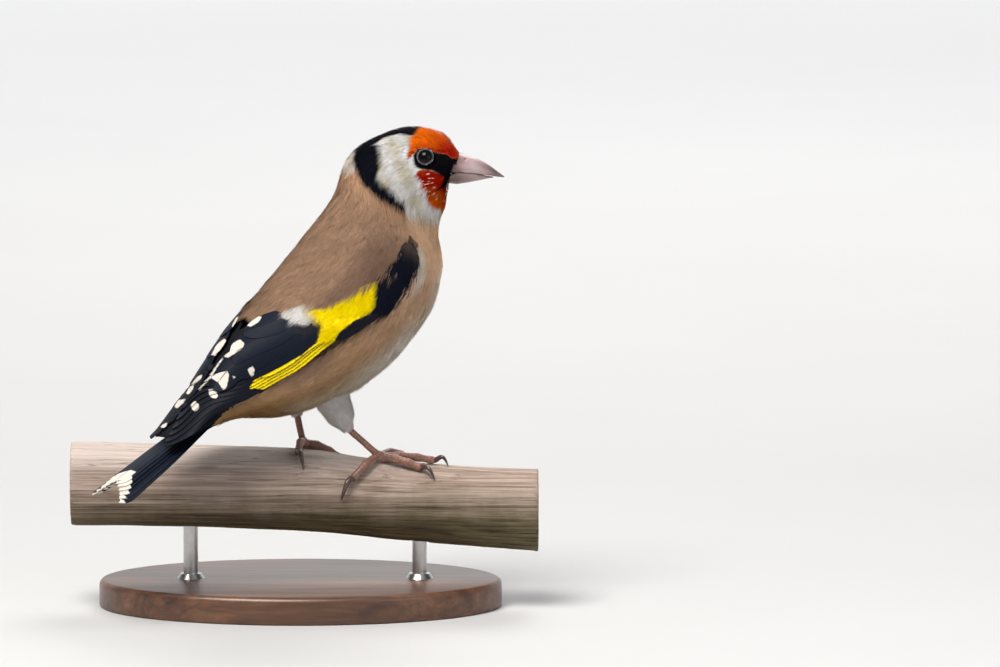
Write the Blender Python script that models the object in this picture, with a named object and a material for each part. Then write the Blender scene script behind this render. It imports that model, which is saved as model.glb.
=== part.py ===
"""A European goldfinch at life size, gripping a cut length of branch on a small display stand.

The bird is built in its own coordinates, x forward, y to its left and z up, on stations along the
body, and is then turned to the world: +X runs along the branch, +Y away from the viewer and +Z up,
with the origin on the floor under the middle of the base. Sizes are in millimetres, and each mesh
is scaled to metres when it is finished.
"""

import math
import bpy
import bmesh
from mathutils import Matrix, Vector

METRES = 0.001
GAP = 0.3

# Stance: the mid-plane of the bird passes through STANCE_POINT, and the head turns about the neck
STANCE_POINT = (8.5, 1.0)
BODY_TURN = 30.0
NECK_PIVOT_X = 14.1

# Stations of the body: place along it, back (x, z), underside (x, z), half width, turn in degrees
FRONT_STATIONS = (
    (0, 28.3, 98.4, 25.9, 91.0, 3.7, 3),
    (1, 26.6, 100.5, 25.3, 89.5, 5.5, 3),
    (2, 24.0, 102.7, 25.0, 87.8, 7.0, 3),
    (4, 16.3, 104.1, 23.8, 84.2, 8.5, 4),
    (6, 8.2, 101.4, 23.5, 80.4, 9.0, 9),
    (7, 4.6, 98.9, 23.8, 78.4, 9.2, 13),
    (8, 2.4, 95.7, 24.2, 76.4, 9.6, 18),
    (10, 0.0, 89.5, 24.1, 71.7, 11.8, 27),
    (12, -7.7, 80.5, 20.8, 64.2, 14.6, 30),
    (14, -19.0, 68.8, 11.4, 53.8, 15.3, 30),
    (15, -24.3, 63.5, 5.0, 49.3, 14.5, 30),
    (16, -27.9, 59.8, -1.3, 45.7, 13.0, 30),
    (18, -32.9, 54.1, -14.7, 42.6, 9.4, 30),
)
# Behind the rump the flesh tapers into the tail coverts, while the folded wings lie over the tail
RUMP_STATIONS = FRONT_STATIONS + (
    (20, -34.8, 46.6, -27.5, 42.3, 5.6, 30),
    (22, -40.6, 40.1, -39.3, 37.6, 4.2, 30),
)
WING_STATIONS = FRONT_STATIONS + (
    (20, -36.6, 48.5, -32.4, 43.3, 8.0, 30),
    (22, -42.2, 41.7, -39.5, 38.3, 7.8, 30),
    (24, -49.0, 36.0, -46.6, 33.0, 7.5, 30),
)
# Places along the body where its nodes are parted
HEAD_END = 7.0
NECK_END = 9.0
TORSO_END = 19.0

# Outline of the folded wing on the form: (place, upper angle, lower angle), angles from the back
WING_EDGES = (
    (10.0, 85, 95),
    (10.6, 82, 102),
    (11.3, 80, 105),
    (12.2, 76, 104),
    (12.9, 66, 98),
    (13.7, 53, 88),
    (14.5, 24, 79),
    (15.1, 0, 74),
    (16.0, 0, 71),
    (17.0, 0, 71),
    (18.0, 0, 75),
    (19.0, 0, 83),
    (20.0, 0, 90),
    (21.0, 0, 84),
    (22.0, 0, 64),
    (23.0, 0, 38),
    (23.6, 0, 24),
)
# Wing bed: the shallow recess of the body that holds the wing, a little wider than the outline
BED_DEPTH = 2.2
BED_UPPER_MARGINS = (10.0, 18.0)
BED_MARGIN_PLACES = (12.4, 13.4)
BED_LOWER_MARGIN = 6.0
BED_SOFT_ANGLE = 7.0
BED_START = 9.35
BED_FULL = 9.9
BED_FADE_START = 17.6
BED_FADE_END = 19.2

# Eyes
EYE_PLACE = 3.4
EYE_ANGLE = 66.0
EYE_RADIUS = 2.1
EYE_SUNK = 1.55
LID_RADIUS = 1.8
LID_THICKNESS = 0.6
LID_SIDES = 16
LID_PROUD = -0.1

# Bill, in the coordinates of the head
BILL_BASE_TOP = (28.35, 98.5)
BILL_BASE_BOTTOM = (26.1, 91.5)
BILL_TIP = (38.0, 93.2)
MOUTH_BASE = (27.6, 94.5)
BILL_HALF_WIDTH = 3.5
CULMEN_CURVE = 0.75
LOWER_CURVE = 0.15
LOWER_SHORTER = 2.4
NOSTRIL_RADIUS = 0.45
GAPE_DEPTH = 2.0
BILL_STEPS = 9
BILL_SIDES = 12
BILL_EDGE = 0.12
MOUTH_RISE = 0.35

# Flight feathers
VANE_THICKNESS = 0.5
VANE_TAPER = 0.6
MIDLINE_GAP = 0.45

# Feathers of one wing; lifts are the heights of a blade's middle above the form at its two edges
PRIMARIES = 8
PRIMARY_WIDTH = 2.8
PRIMARY_PITCH = 0.95
PRIMARY_ROOTS = (13.9, 16.4)
PRIMARY_TIPS = (23.4, 19.6)
PRIMARY_LIFTS = (-0.85, -0.1)
SECONDARIES = 4
SECONDARY_WIDTH = 3.4
SECONDARY_ROOT = 13.9
SECONDARY_TIPS = (17.2, 18.7)
SECONDARY_SINK = (3.8, 9.6)
SECONDARY_LIFTS = (-0.8, 0.0)
# Tertials: (place of root, angle of root, place of tip, angle of tip, width)
TERTIALS = (
    (14.1, 60, 18.9, 26, 6.0),
    (14.3, 52, 16.9, 20, 6.0),
    (14.5, 45, 15.7, 18, 5.2),
)
TERTIAL_BOW = -9.0
TERTIAL_LIFTS = (-0.7, 0.15)
# Coverts: (place, angle) of the roots and tips of the first and the last of a row
GREATER_COVERTS = 7
GREATER_ROOTS = ((13.0, 91), (13.9, 64))
GREATER_TIPS = ((14.5, 74), (15.0, 27))
GREATER_LIFTS = (-0.5, 0.2)
MEDIAN_COVERTS = 5
MEDIAN_ROOTS = ((12.0, 99), (12.3, 82))
MEDIAN_TIPS = ((13.3, 88), (13.8, 64))
MEDIAN_LIFTS = (-0.3, 0.3)
COVERT_WIDTH = 3.8
STAGGER_ANGLE = 0.37
STAGGER_LIFT = 0.017

# The fleshy arm of the wing, inside its outline: (place, outer height, inner height)
PAD_ROWS = (
    (10.05, -0.8, -1.5),
    (10.5, 0.0, -1.8),
    (11.3, 0.2, -1.85),
    (12.2, 0.2, -1.8),
    (12.9, 0.0, -1.6),
    (13.6, -0.5, -1.35),
    (14.5, -0.7, -1.3),
    (15.23, -0.73, -1.34),
    (16.03, -0.77, -1.38),
    (16.81, -0.8, -1.39),
    (17.5, -0.85, -1.45),
)
PAD_SPAN = 8
PAD_INSETS = (1.0, 4.3)
PAD_ROUNDING = 0.25

# Tail
TAIL_PITCH = 32.0
TAIL_ROOT = (-31.0, 45.8)
TAIL_LENGTH = 28.7
TAIL_FORK = 3.6
TAIL_PAIRS = 6
TAIL_FEATHER_WIDTH = 6.8
TAIL_ROOT_WIDTH = 3.4
TAIL_SPREAD = 0.82
TAIL_STEP = 0.24
TAIL_ARCH = 0.05
TAIL_SLANT = 0.9
# Tail blade: (share of the length, share of the width)
TAIL_BLADE = ((0, 0.5), (0.3, 0.75), (0.6, 0.95), (0.85, 1.0), (0.95, 0.72), (1.0, 0.28))

# Legs: (x, y, z) of hip and ankle, and (x, angle) of the toes' joint on the perch
RIGHT_HIP = (5.0, -4.5, 50.0)
RIGHT_ANKLE = (10.4, -5.6, 39.8)
RIGHT_FOOT = (17.2, 17.0)
LEFT_HIP = (-2.0, 5.0, 51.0)
LEFT_ANKLE = (-0.9, 3.6, 42.0)
LEFT_FOOT = (0.5, -14.0)
THIGH_TOP_RADIUS = 4.4
THIGH_END_RADIUS = 2.1
THIGH_STEPS = 8
THIGH_ROUNDING = 0.45
SHANK_RADIUS = 0.78
TOE_RADIUS = 0.8
TOE_STEPS = 7
CLAW_STEPS = 8
FOOT_LIFT = 1.2
FOOT_RADIUS = 1.2

# Toes, hind toe first: (end x, end angle on the perch, claw x, claw angle, claw arch)
RIGHT_TOES = (
    (11.7, 60, 9.0, 92, 0.9),
    (29.2, 4, 32.3, 12, 1.2),
    (26.4, 30, 29.4, 47, 1.0),
    (24.0, -34, 25.4, -58, 0.9),
)
LEFT_TOES = (
    (-0.4, 28, 0.8, 54, 0.9),
    (6.2, -66, 6.8, -90, 1.0),
    (1.4, -62, 0.9, -84, 0.9),
    (8.6, -46, 10.2, -66, 0.9),
)

# Perch: stations (x, centre height, radius) of the cut branch
PERCH_STATIONS = (
    (-50.0, 26.9, 9.2),
    (-22.0, 26.4, 9.0),
    (0.0, 25.5, 9.0),
    (17.4, 23.6, 8.7),
    (33.0, 22.1, 8.7),
    (52.0, 21.0, 9.2),
)
PERCH_SIDES = 22
PERCH_RINGS = 14

# Stand
BASE_LENGTH = 88.0
BASE_WIDTH = 60.0
BASE_HEIGHT = 6.0
BASE_CHAMFER = 1.2
BASE_SIDES = 48
ROD_RADIUS = 1.6
ROD_PLACES = (-24.0, 26.0)
ROD_DEPTH_BASE = 3.5
ROD_DEPTH_PERCH = 5.0
ROD_SIDES = 14

MATERIALS = {}


def material(name, colour, roughness=0.6, metallic=0.0):
    """The named material, made once."""
    if name in MATERIALS:
        return MATERIALS[name]
    made = bpy.data.materials.new(name)
    made.use_nodes = True
    shader = made.node_tree.nodes["Principled BSDF"]
    shader.inputs["Base Color"].default_value = (*colour, 1.0)
    shader.inputs["Roughness"].default_value = roughness
    shader.inputs["Metallic"].default_value = metallic
    made.diffuse_color = (*colour, 1.0)
    MATERIALS[name] = made
    return made


def interpolate(rows, place):
    """Values of the rows at a place, on a smooth curve through them; the first column is the place."""
    last = len(rows) - 1
    index = 0
    while index < last - 1 and rows[index + 1][0] <= place:
        index += 1
    start, end = rows[index], rows[index + 1]
    span = end[0] - start[0]
    f = min(max((place - start[0]) / span, 0.0), 1.0)

    def slope(row, column):
        before = rows[max(row - 1, 0)]
        after = rows[min(row + 1, last)]
        return (after[column] - before[column]) / (after[0] - before[0])

    values = []
    for column in range(1, len(start)):
        rise_start = slope(index, column) * span
        rise_end = slope(index + 1, column) * span
        values.append(
            (2 * f**3 - 3 * f**2 + 1) * start[column]
            + (f**3 - 2 * f**2 + f) * rise_start
            + (3 * f**2 - 2 * f**3) * end[column]
            + (f**3 - f**2) * rise_end
        )
    return values


def straight(rows, place):
    """Values of the rows at a place, on straight lines between them."""
    if place <= rows[0][0]:
        return rows[0][1:]
    for start, end in zip(rows, rows[1:]):
        if place <= end[0]:
            f = (place - start[0]) / (end[0] - start[0])
            return [a + f * (b - a) for a, b in zip(start[1:], end[1:])]
    return rows[-1][1:]


def smooth_step(value, low, high):
    """0 below low, 1 above high, and smooth between."""
    f = min(max((value - low) / (high - low), 0.0), 1.0)
    return f * f * (3 - 2 * f)


def bird_to_world(x, y, z, turn=BODY_TURN):
    """A point of the bird in the world, turned by turn degrees about the vertical through the neck."""
    body = math.radians(BODY_TURN)
    pivot_x = STANCE_POINT[0] + NECK_PIVOT_X * math.cos(body)
    pivot_y = STANCE_POINT[1] + NECK_PIVOT_X * math.sin(body)
    angle = math.radians(turn)
    forward = x - NECK_PIVOT_X
    return Vector((
        pivot_x + forward * math.cos(angle) - y * math.sin(angle),
        pivot_y + forward * math.sin(angle) + y * math.cos(angle),
        z,
    ))


def form_point(stations, place, angle, side=1, lift=0.0):
    """A point of the body's form: angle in degrees from the back down the side (1 left, -1 right)."""
    back_x, back_z, under_x, under_z, half_width, turn = interpolate(stations, place)
    centre = Vector(((back_x + under_x) / 2, 0, (back_z + under_z) / 2))
    up = Vector(((back_x - under_x) / 2, 0, (back_z - under_z) / 2))
    half_height = up.length
    across = Vector((0, side, 0))
    a = math.radians(angle)
    normal = up * (math.cos(a) / half_height**2) + across * (math.sin(a) / half_width)
    normal.normalize()
    point = centre + up * math.cos(a) + across * (half_width * math.sin(a)) + normal * lift
    return bird_to_world(*point, turn)


def form_frame(stations, place, angle, side):
    """Point, change per place, change per degree and outward normal of the form."""
    point = form_point(stations, place, angle, side)
    by_place = (form_point(stations, place + 0.05, angle, side) - point) / 0.05
    by_angle = (form_point(stations, place, angle + 0.5, side) - point) / 0.5
    normal = (form_point(stations, place, angle, side, 1.0) - point).normalized()
    return point, by_place, by_angle, normal


def bed_depth(place, angle):
    """Depth of the wing bed below the form, at a place and an angle from the back."""
    upper, lower = straight(WING_EDGES, place)
    widening = smooth_step(place, *BED_MARGIN_PLACES)
    margin = BED_UPPER_MARGINS[0] + (BED_UPPER_MARGINS[1] - BED_UPPER_MARGINS[0]) * widening
    upper = upper - margin if upper > 0 else -90.0
    lower += BED_LOWER_MARGIN
    inside = smooth_step(angle, upper, upper + BED_SOFT_ANGLE)
    inside *= 1 - smooth_step(angle, lower - BED_SOFT_ANGLE / 2, lower + BED_SOFT_ANGLE / 2)
    inside *= smooth_step(place, BED_START, BED_FULL)
    inside *= 1 - smooth_step(place, BED_FADE_START, BED_FADE_END)
    return BED_DEPTH * inside


def mesh_object(name, bm, look, smooth=True):
    """A finished object in metres from a bmesh in millimetres."""
    bmesh.ops.recalc_face_normals(bm, faces=bm.faces)
    mesh = bpy.data.meshes.new(name)
    bm.to_mesh(mesh)
    bm.free()
    made = bpy.data.objects.new(name, mesh)
    bpy.context.scene.collection.objects.link(made)
    if look is not None:
        mesh.materials.append(look)
    if smooth:
        mesh.shade_smooth()
        mesh.set_sharp_from_angle(angle=math.radians(40))
    return made


def skin_rings(bm, rings, cap_start=True, cap_end=True):
    """Joins closed rings of equal count into a tube of triangles, with its ends capped."""
    loops = [[bm.verts.new(point) for point in ring] for ring in rings]
    count = len(loops[0])
    for lower, upper in zip(loops, loops[1:]):
        for i in range(count):
            j = (i + 1) % count
            # The shorter diagonal splits each quad, so both sides of the body match
            if (lower[i].co - upper[j].co).length < (lower[j].co - upper[i].co).length:
                bm.faces.new((lower[i], lower[j], upper[j]))
                bm.faces.new((lower[i], upper[j], upper[i]))
            else:
                bm.faces.new((lower[i], lower[j], upper[i]))
                bm.faces.new((lower[j], upper[j], upper[i]))
    if cap_start:
        bm.faces.new(reversed(loops[0]))
    if cap_end:
        bm.faces.new(loops[-1])
    return loops


def tube_object(name, look, points, radii, sides, flatten=1.0, up=Vector((0, 0, 1))):
    """A round or flattened tube through points, with flat ends."""
    bm = bmesh.new()
    rings = []
    for i, point in enumerate(points):
        before = points[max(i - 1, 0)]
        after = points[min(i + 1, len(points) - 1)]
        along = (after - before).normalized()
        sideways = along.cross(up).normalized()
        upward = sideways.cross(along)
        ring = []
        for k in range(sides):
            turn = 2 * math.pi * k / sides
            offset = sideways * math.cos(turn) + upward * math.sin(turn) * flatten
            ring.append(point + offset * radii[i])
        rings.append(ring)
    skin_rings(bm, rings)
    return mesh_object(name, bm, look)


def apply_modifiers(target):
    """Replaces the object's mesh with its evaluated mesh."""
    depsgraph = bpy.context.evaluated_depsgraph_get()
    mesh = bpy.data.meshes.new_from_object(target.evaluated_get(depsgraph))
    target.modifiers.clear()
    target.data = mesh


def keep_largest(target):
    """Keeps only the largest closed surface of the object."""
    bm = bmesh.new()
    bm.from_mesh(target.data)
    bmesh.ops.remove_doubles(bm, verts=bm.verts, dist=0.00001)
    remaining = set(bm.faces)
    pieces = []
    while remaining:
        piece = {remaining.pop()}
        edge_of_piece = list(piece)
        while edge_of_piece:
            face = edge_of_piece.pop()
            for edge in face.edges:
                for other in edge.link_faces:
                    if other in remaining:
                        remaining.discard(other)
                        piece.add(other)
                        edge_of_piece.append(other)
        pieces.append(piece)
    largest = max(pieces, key=lambda piece: sum(face.calc_area() for face in piece))
    scraps = [face for face in bm.faces if face not in largest]
    bmesh.ops.delete(bm, geom=scraps, context="FACES")
    loose = [vert for vert in bm.verts if not vert.link_faces]
    bmesh.ops.delete(bm, geom=loose, context="VERTS")
    bm.to_mesh(target.data)
    bm.free()


def combine(target, tools, operation, solver="EXACT"):
    """One Boolean of the target with a collection of tools, applied; the tools are then removed."""
    if not tools:
        return
    group = bpy.data.collections.new(target.name + "_tools")
    bpy.context.scene.collection.children.link(group)
    for tool in tools:
        group.objects.link(tool)
    modifier = target.modifiers.new("combine", "BOOLEAN")
    modifier.operation = operation
    modifier.solver = solver
    modifier.operand_type = "COLLECTION"
    modifier.collection = group
    apply_modifiers(target)
    meshes = [tool.data for tool in tools]
    for tool in tools:
        bpy.data.objects.remove(tool)
    for mesh in meshes:
        if mesh.users == 0:
            bpy.data.meshes.remove(mesh)
    bpy.data.collections.remove(group)
    keep_largest(target)


def body_rings(stations, start, end, per_place, sides, lift=0.0, bed=True):
    """Rings of the body's form between two places, with the wing bed pressed in."""
    count = max(int(round((end - start) * per_place)), 1)
    rings = []
    for i in range(count + 1):
        place = start + (end - start) * i / count
        ring = []
        for k in range(sides):
            angle = 360.0 * k / sides
            side = 1
            if angle > 180:
                angle = 360 - angle
                side = -1
            depth = bed_depth(place, angle) if bed else 0.0
            ring.append(form_point(stations, place, angle, side, lift - depth))
        rings.append(ring)
    return rings


def station_plane(stations, place):
    """A point and the rearward normal of the plane of a station."""
    back = form_point(stations, place, 0)
    under = form_point(stations, place, 180)
    left = form_point(stations, place, 90)
    normal = (back - under).cross(left - (back + under) / 2).normalized()
    rear = form_point(stations, place + 0.5, 90) - left
    if normal.dot(rear) < 0:
        normal = -normal
    return (back + under) / 2, normal


def body_piece(name, look, start, end, stations=RUMP_STATIONS, per_place=2.0, sides=28):
    """A length of the body between two station planes, kept half a gap back from each cut."""
    bm = bmesh.new()
    first = max(start - 1.0, stations[0][0])
    last = min(end + 1.0, stations[-1][0])
    skin_rings(bm, body_rings(stations, first, last, per_place, sides))
    for place, sign in ((start, 1), (end, -1)):
        if place in (stations[0][0], stations[-1][0]):
            continue
        point, normal = station_plane(stations, place)
        normal = normal * sign
        cut = bmesh.ops.bisect_plane(
            bm,
            geom=bm.verts[:] + bm.edges[:] + bm.faces[:],
            plane_co=point + normal * GAP / 2,
            plane_no=normal,
            clear_inner=True,
        )
        rim = [item for item in cut["geom_cut"] if isinstance(item, bmesh.types.BMEdge)]
        bmesh.ops.edgeloop_fill(bm, edges=rim)
    return mesh_object(name, bm, look)


def sphere_object(name, look, centre, radius, segments=16, rings=10):
    """A round ball."""
    bm = bmesh.new()
    bmesh.ops.create_uvsphere(bm, u_segments=segments, v_segments=rings, radius=radius)
    bmesh.ops.translate(bm, verts=bm.verts, vec=centre)
    return mesh_object(name, bm, look)


def eye_centre(side):
    """Centre of the eyeball and the outward direction there."""
    point, _, _, normal = form_frame(RUMP_STATIONS, EYE_PLACE, EYE_ANGLE, side)
    return point - normal * EYE_SUNK, normal


def lid_ring(side, look):
    """The ring of the lids round one eye."""
    centre, normal = eye_centre(side)
    bm = bmesh.new()
    middle = centre + normal * (EYE_SUNK + LID_PROUD)
    turn = normal.to_track_quat("Z", "Y").to_matrix().to_4x4()
    rings = []
    for i in range(LID_SIDES):
        angle = 2 * math.pi * i / LID_SIDES
        outward = Vector((math.cos(angle), math.sin(angle), 0))
        ring = []
        for k in range(6):
            turn_k = 2 * math.pi * k / 6
            reach = LID_RADIUS + LID_THICKNESS / 2 * math.cos(turn_k)
            ring.append(outward * reach + Vector((0, 0, LID_THICKNESS / 2 * math.sin(turn_k))))
        rings.append(ring)
    loops = [[bm.verts.new(middle + turn @ point) for point in ring] for ring in rings]
    for i in range(LID_SIDES):
        lower, upper = loops[i], loops[(i + 1) % LID_SIDES]
        for k in range(6):
            j = (k + 1) % 6
            bm.faces.new((lower[k], lower[j], upper[j], upper[k]))
    return mesh_object("lid", bm, look)


def mouth_cutter():
    """A thin wedge that carries the line of the mouth back into the face."""
    bm = bmesh.new()
    bmesh.ops.create_cube(bm, size=1.0)
    start = Vector((MOUTH_BASE[0] + 1.5, 0, MOUTH_BASE[1]))
    end = Vector((MOUTH_BASE[0] - GAPE_DEPTH, 0, MOUTH_BASE[1] - 0.3))
    middle = (start + end) / 2
    length = (start - end).length
    tilt = math.atan2(start.z - end.z, start.x - end.x)
    for vert in bm.verts:
        x = vert.co.x * length
        z = vert.co.z * GAP
        point = (
            middle.x + x * math.cos(tilt) - z * math.sin(tilt),
            vert.co.y * 4 * BILL_HALF_WIDTH,
            middle.z + x * math.sin(tilt) + z * math.cos(tilt),
        )
        vert.co = bird_to_world(*point, FRONT_STATIONS[0][6])
    return mesh_object("mouth", bm, None)


def make_head(look):
    """The head, with its lids, eye sockets and line of the mouth."""
    head = body_piece("head", look, 0, HEAD_END)
    combine(head, [lid_ring(1, look), lid_ring(-1, look)], "UNION")
    cutters = [mouth_cutter()]
    for side in (1, -1):
        centre, _ = eye_centre(side)
        cutters.append(sphere_object("socket", None, centre, EYE_RADIUS + GAP))
    combine(head, cutters, "DIFFERENCE")
    return head


def bill_half(name, look, base_outer, base_mouth, tip, width, curve):
    """One half of the bill: half rings from its base to its tip, round outside and flat at the mouth."""
    turn = FRONT_STATIONS[0][6]
    bm = bmesh.new()
    rings = []
    forward = Vector((tip[0] - base_mouth[0], tip[1] - base_mouth[1])).normalized()
    for i in range(BILL_STEPS):
        s = i / (BILL_STEPS - 1)
        mouth_x = base_mouth[0] + (tip[0] - base_mouth[0]) * s
        mouth_z = base_mouth[1] + (tip[1] - base_mouth[1]) * s
        mouth_z += MOUTH_RISE * math.sin(math.pi * s) * (1 - s)
        outer_x = base_outer[0] + (tip[0] - base_outer[0]) * s
        outer_z = base_outer[1] + (tip[1] - base_outer[1]) * s
        bulge = math.sin(math.pi * s) * curve
        direction = 1 if base_outer[1] > base_mouth[1] else -1
        outer_x += -forward.y * bulge * direction
        outer_z += forward.x * bulge * direction
        half = width * (1 - s) ** 0.85 + BILL_EDGE
        ring = []
        for k in range(BILL_SIDES + 1):
            angle = math.pi * k / BILL_SIDES
            rise = math.sin(angle)
            y = half * math.cos(angle)
            x = mouth_x + (outer_x - mouth_x) * rise
            z = mouth_z + (outer_z - mouth_z) * rise
            if i == BILL_STEPS - 1:
                z += direction * BILL_EDGE * rise
            ring.append(bird_to_world(x, y, z, turn))
        rings.append(ring)
    skin_rings(bm, rings)
    return mesh_object(name, bm, look)


def make_bill(look):
    """Both halves of the bill, parted along the mouth and kept clear of the face."""
    upper = bill_half(
        "upper_bill", look,
        (BILL_BASE_TOP[0] + GAP, BILL_BASE_TOP[1]),
        (MOUTH_BASE[0] + GAP, MOUTH_BASE[1] + GAP * 0.6),
        BILL_TIP, BILL_HALF_WIDTH, CULMEN_CURVE,
    )
    bill_half(
        "lower_bill", look,
        (BILL_BASE_BOTTOM[0] + GAP, BILL_BASE_BOTTOM[1]),
        (MOUTH_BASE[0] + GAP, MOUTH_BASE[1] - GAP * 0.6),
        (BILL_TIP[0] - LOWER_SHORTER, BILL_TIP[1] - 0.05),
        BILL_HALF_WIDTH * 0.93, LOWER_CURVE,
    )
    pits = []
    for side in (1, -1):
        place = bird_to_world(
            BILL_BASE_TOP[0] + 1.0, side * BILL_HALF_WIDTH * 0.62, BILL_BASE_TOP[1] - 1.2,
            FRONT_STATIONS[0][6],
        )
        pits.append(sphere_object("pit", None, place, NOSTRIL_RADIUS, 10, 6))
    combine(upper, pits, "DIFFERENCE")


def wing_edge(place):
    """Upper and lower angle of the wing's outline at a place."""
    return straight(WING_EDGES, place)


def below_edge(place, side, distance):
    """Angle of the point that lies a distance in millimetres up from the wing's lower edge."""
    lower = wing_edge(place)[1]
    per_degree = form_frame(WING_STATIONS, place, lower, side)[2].length
    return lower - distance / per_degree


def vane(look, side, path, width, lifts, rings, number):
    """A closed blade on the wing's form; path(s) gives (place, angle) from root 0 to tip 1.

    The number of the feather sets it a little apart from its neighbours where several would
    share an edge.
    """
    bm = bmesh.new()
    loops = []
    for i in range(rings):
        s = 0.88 * i / (rings - 2) if i < rings - 1 else 1.0
        share = (0.75 + 0.25 * min(s / 0.3, 1)) * (1 - VANE_TAPER * smooth_step(s, 0.72, 1.0))
        place, angle = path(s)
        ahead, behind = path(min(s + 0.05, 1.0)), path(max(s - 0.05, 0.0))
        _, by_place, by_angle, normal = form_frame(WING_STATIONS, place, angle, side)
        along = by_place * (ahead[0] - behind[0]) + by_angle * (ahead[1] - behind[1])
        across = normal.cross(along.normalized()) * -side
        # The move over the form that matches a step of one millimetre across the feather
        pp, pa, aa = by_place.dot(by_place), by_place.dot(by_angle), by_angle.dot(by_angle)
        cp, ca = across.dot(by_place), across.dot(by_angle)
        determinant = pp * aa - pa * pa
        step_place = (cp * aa - ca * pa) / determinant
        step_angle = (ca * pp - cp * pa) / determinant
        half = width * share / 2
        upper, lower = wing_edge(place)
        half_width = interpolate(WING_STATIONS, place)[4]
        least = max(upper, math.degrees(math.asin(MIDLINE_GAP / half_width)))
        least += STAGGER_ANGLE * (number % 7) + half * step_angle
        most = lower - STAGGER_ANGLE * (number % 7) - half * step_angle
        angle = min(max(angle, least), most) if least < most else (least + most) / 2
        ring = []
        for edge, face in ((-1, 1), (1, 1), (1, -1), (-1, -1)):
            edge_place = place + step_place * half * edge
            edge_angle = angle + step_angle * half * edge
            lift = lifts[0] if edge < 0 else lifts[1]
            lift += STAGGER_LIFT * (number % 5)
            height = lift + face * VANE_THICKNESS / 2
            ring.append(form_point(WING_STATIONS, edge_place, edge_angle, side, height))
        loops.append([bm.verts.new(point) for point in ring])
    blade_faces(bm, loops)
    return mesh_object("vane", bm, look)


def blade_faces(bm, loops):
    """Faces of a blade of four-cornered rings, split alike on its top and its underside."""
    for near, far in zip(loops, loops[1:]):
        for a, b, c, d in ((near[0], near[1], far[1], far[0]), (near[3], near[2], far[2], far[3])):
            bm.faces.new((a, b, c))
            bm.faces.new((a, c, d))
        bm.faces.new((near[1], near[2], far[2], far[1]))
        bm.faces.new((near[3], near[0], far[0], far[3]))
    bm.faces.new(loops[0])
    bm.faces.new(loops[-1])


def wing_pad(name, look, side):
    """A low pad that fills the wing's outline, its arm in front and its inner vanes behind."""
    bm = bmesh.new()
    rings = []
    for place, outer, inner in PAD_ROWS:
        upper, lower = wing_edge(place)
        half_width = interpolate(WING_STATIONS, place)[4]
        inset = lerp(*PAD_INSETS, smooth_step(place, 14.0, 15.2))
        upper = max(upper, math.degrees(math.asin(MIDLINE_GAP / half_width))) + inset
        angles = [lerp(upper, lower - inset, k / PAD_SPAN) for k in range(PAD_SPAN + 1)]
        top = []
        bottom = []
        for k, angle in enumerate(angles):
            rounding = PAD_ROUNDING * (outer - inner) * abs(2 * k / PAD_SPAN - 1) ** 4
            top.append(form_point(WING_STATIONS, place, angle, side, outer - rounding))
            bottom.append(form_point(WING_STATIONS, place, angle, side, inner + rounding))
        rings.append(top + bottom[::-1])
    loops = skin_rings(bm, rings, cap_start=False, cap_end=False)
    # Each end is closed by a strip across the pad, because it is too curved for one face
    for loop in (loops[0], loops[-1]):
        for k in range(PAD_SPAN):
            bm.faces.new((loop[k], loop[k + 1], loop[-2 - k], loop[-1 - k]))
    return mesh_object(name, bm, look)


def lerp(start, end, f):
    """The value at f between start and end."""
    return start + (end - start) * f


def primary_path(k, side):
    """The way of one primary, which follows the wing's lower edge; 0 is the lowest and longest."""
    f = k / (PRIMARIES - 1)
    tip = lerp(PRIMARY_TIPS[0], PRIMARY_TIPS[1], max(f - 0.1, 0) ** 0.85)
    root = PRIMARY_ROOTS[0] if k < 3 else PRIMARY_ROOTS[1]

    def path(s):
        place = lerp(root, tip, s)
        distance = PRIMARY_WIDTH * 0.5 * lerp(1, 0.45, s**3) + PRIMARY_PITCH * k
        return place, below_edge(place, side, distance)

    return path


def secondary_path(k, side):
    """The way of one secondary, above the primaries; 0 is the lowest."""
    f = k / (SECONDARIES - 1)
    tip = lerp(SECONDARY_TIPS[0], SECONDARY_TIPS[1], f)

    def path(s):
        place = lerp(SECONDARY_ROOT, tip, s)
        distance = lerp(SECONDARY_SINK[0], SECONDARY_SINK[1], f * (0.4 + 0.6 * s))
        return place, below_edge(place, side, distance)

    return path


def line_path(root_place, root_angle, tip_place, tip_angle, bow=0.0):
    """A way over the form that bows by some degrees at its middle."""

    def path(s):
        angle = lerp(root_angle, tip_angle, s) + bow * math.sin(math.pi * s)
        return lerp(root_place, tip_place, s), angle

    return path


def make_wing(side, name, look):
    """One folded wing: its arm, and its feathers in tiers."""
    wing = wing_pad(name, look, side)
    feathers = []

    def add(path, width, lifts, rings):
        feathers.append(vane(look, side, path, width, lifts, rings, len(feathers)))

    for k in range(PRIMARIES):
        add(primary_path(k, side), PRIMARY_WIDTH, PRIMARY_LIFTS, 9 if k < 3 else 6)
    for k in range(SECONDARIES):
        add(secondary_path(k, side), SECONDARY_WIDTH, SECONDARY_LIFTS, 6)
    for number, (root_place, root_angle, tip_place, tip_angle, width) in enumerate(TERTIALS):
        path = line_path(root_place, root_angle, tip_place, tip_angle, TERTIAL_BOW)
        add(path, width, TERTIAL_LIFTS, 6 - number)
    for count, roots, tips, lifts in (
        (GREATER_COVERTS, GREATER_ROOTS, GREATER_TIPS, GREATER_LIFTS),
        (MEDIAN_COVERTS, MEDIAN_ROOTS, MEDIAN_TIPS, MEDIAN_LIFTS),
    ):
        for k in range(count):
            f = k / (count - 1)
            root = [lerp(first, last, f) for first, last in zip(*roots)]
            tip = [lerp(first, last, f) for first, last in zip(*tips)]
            add(line_path(*root, *tip), COVERT_WIDTH, lifts, 4)
    combine(wing, feathers, "UNION")
    return wing


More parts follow.
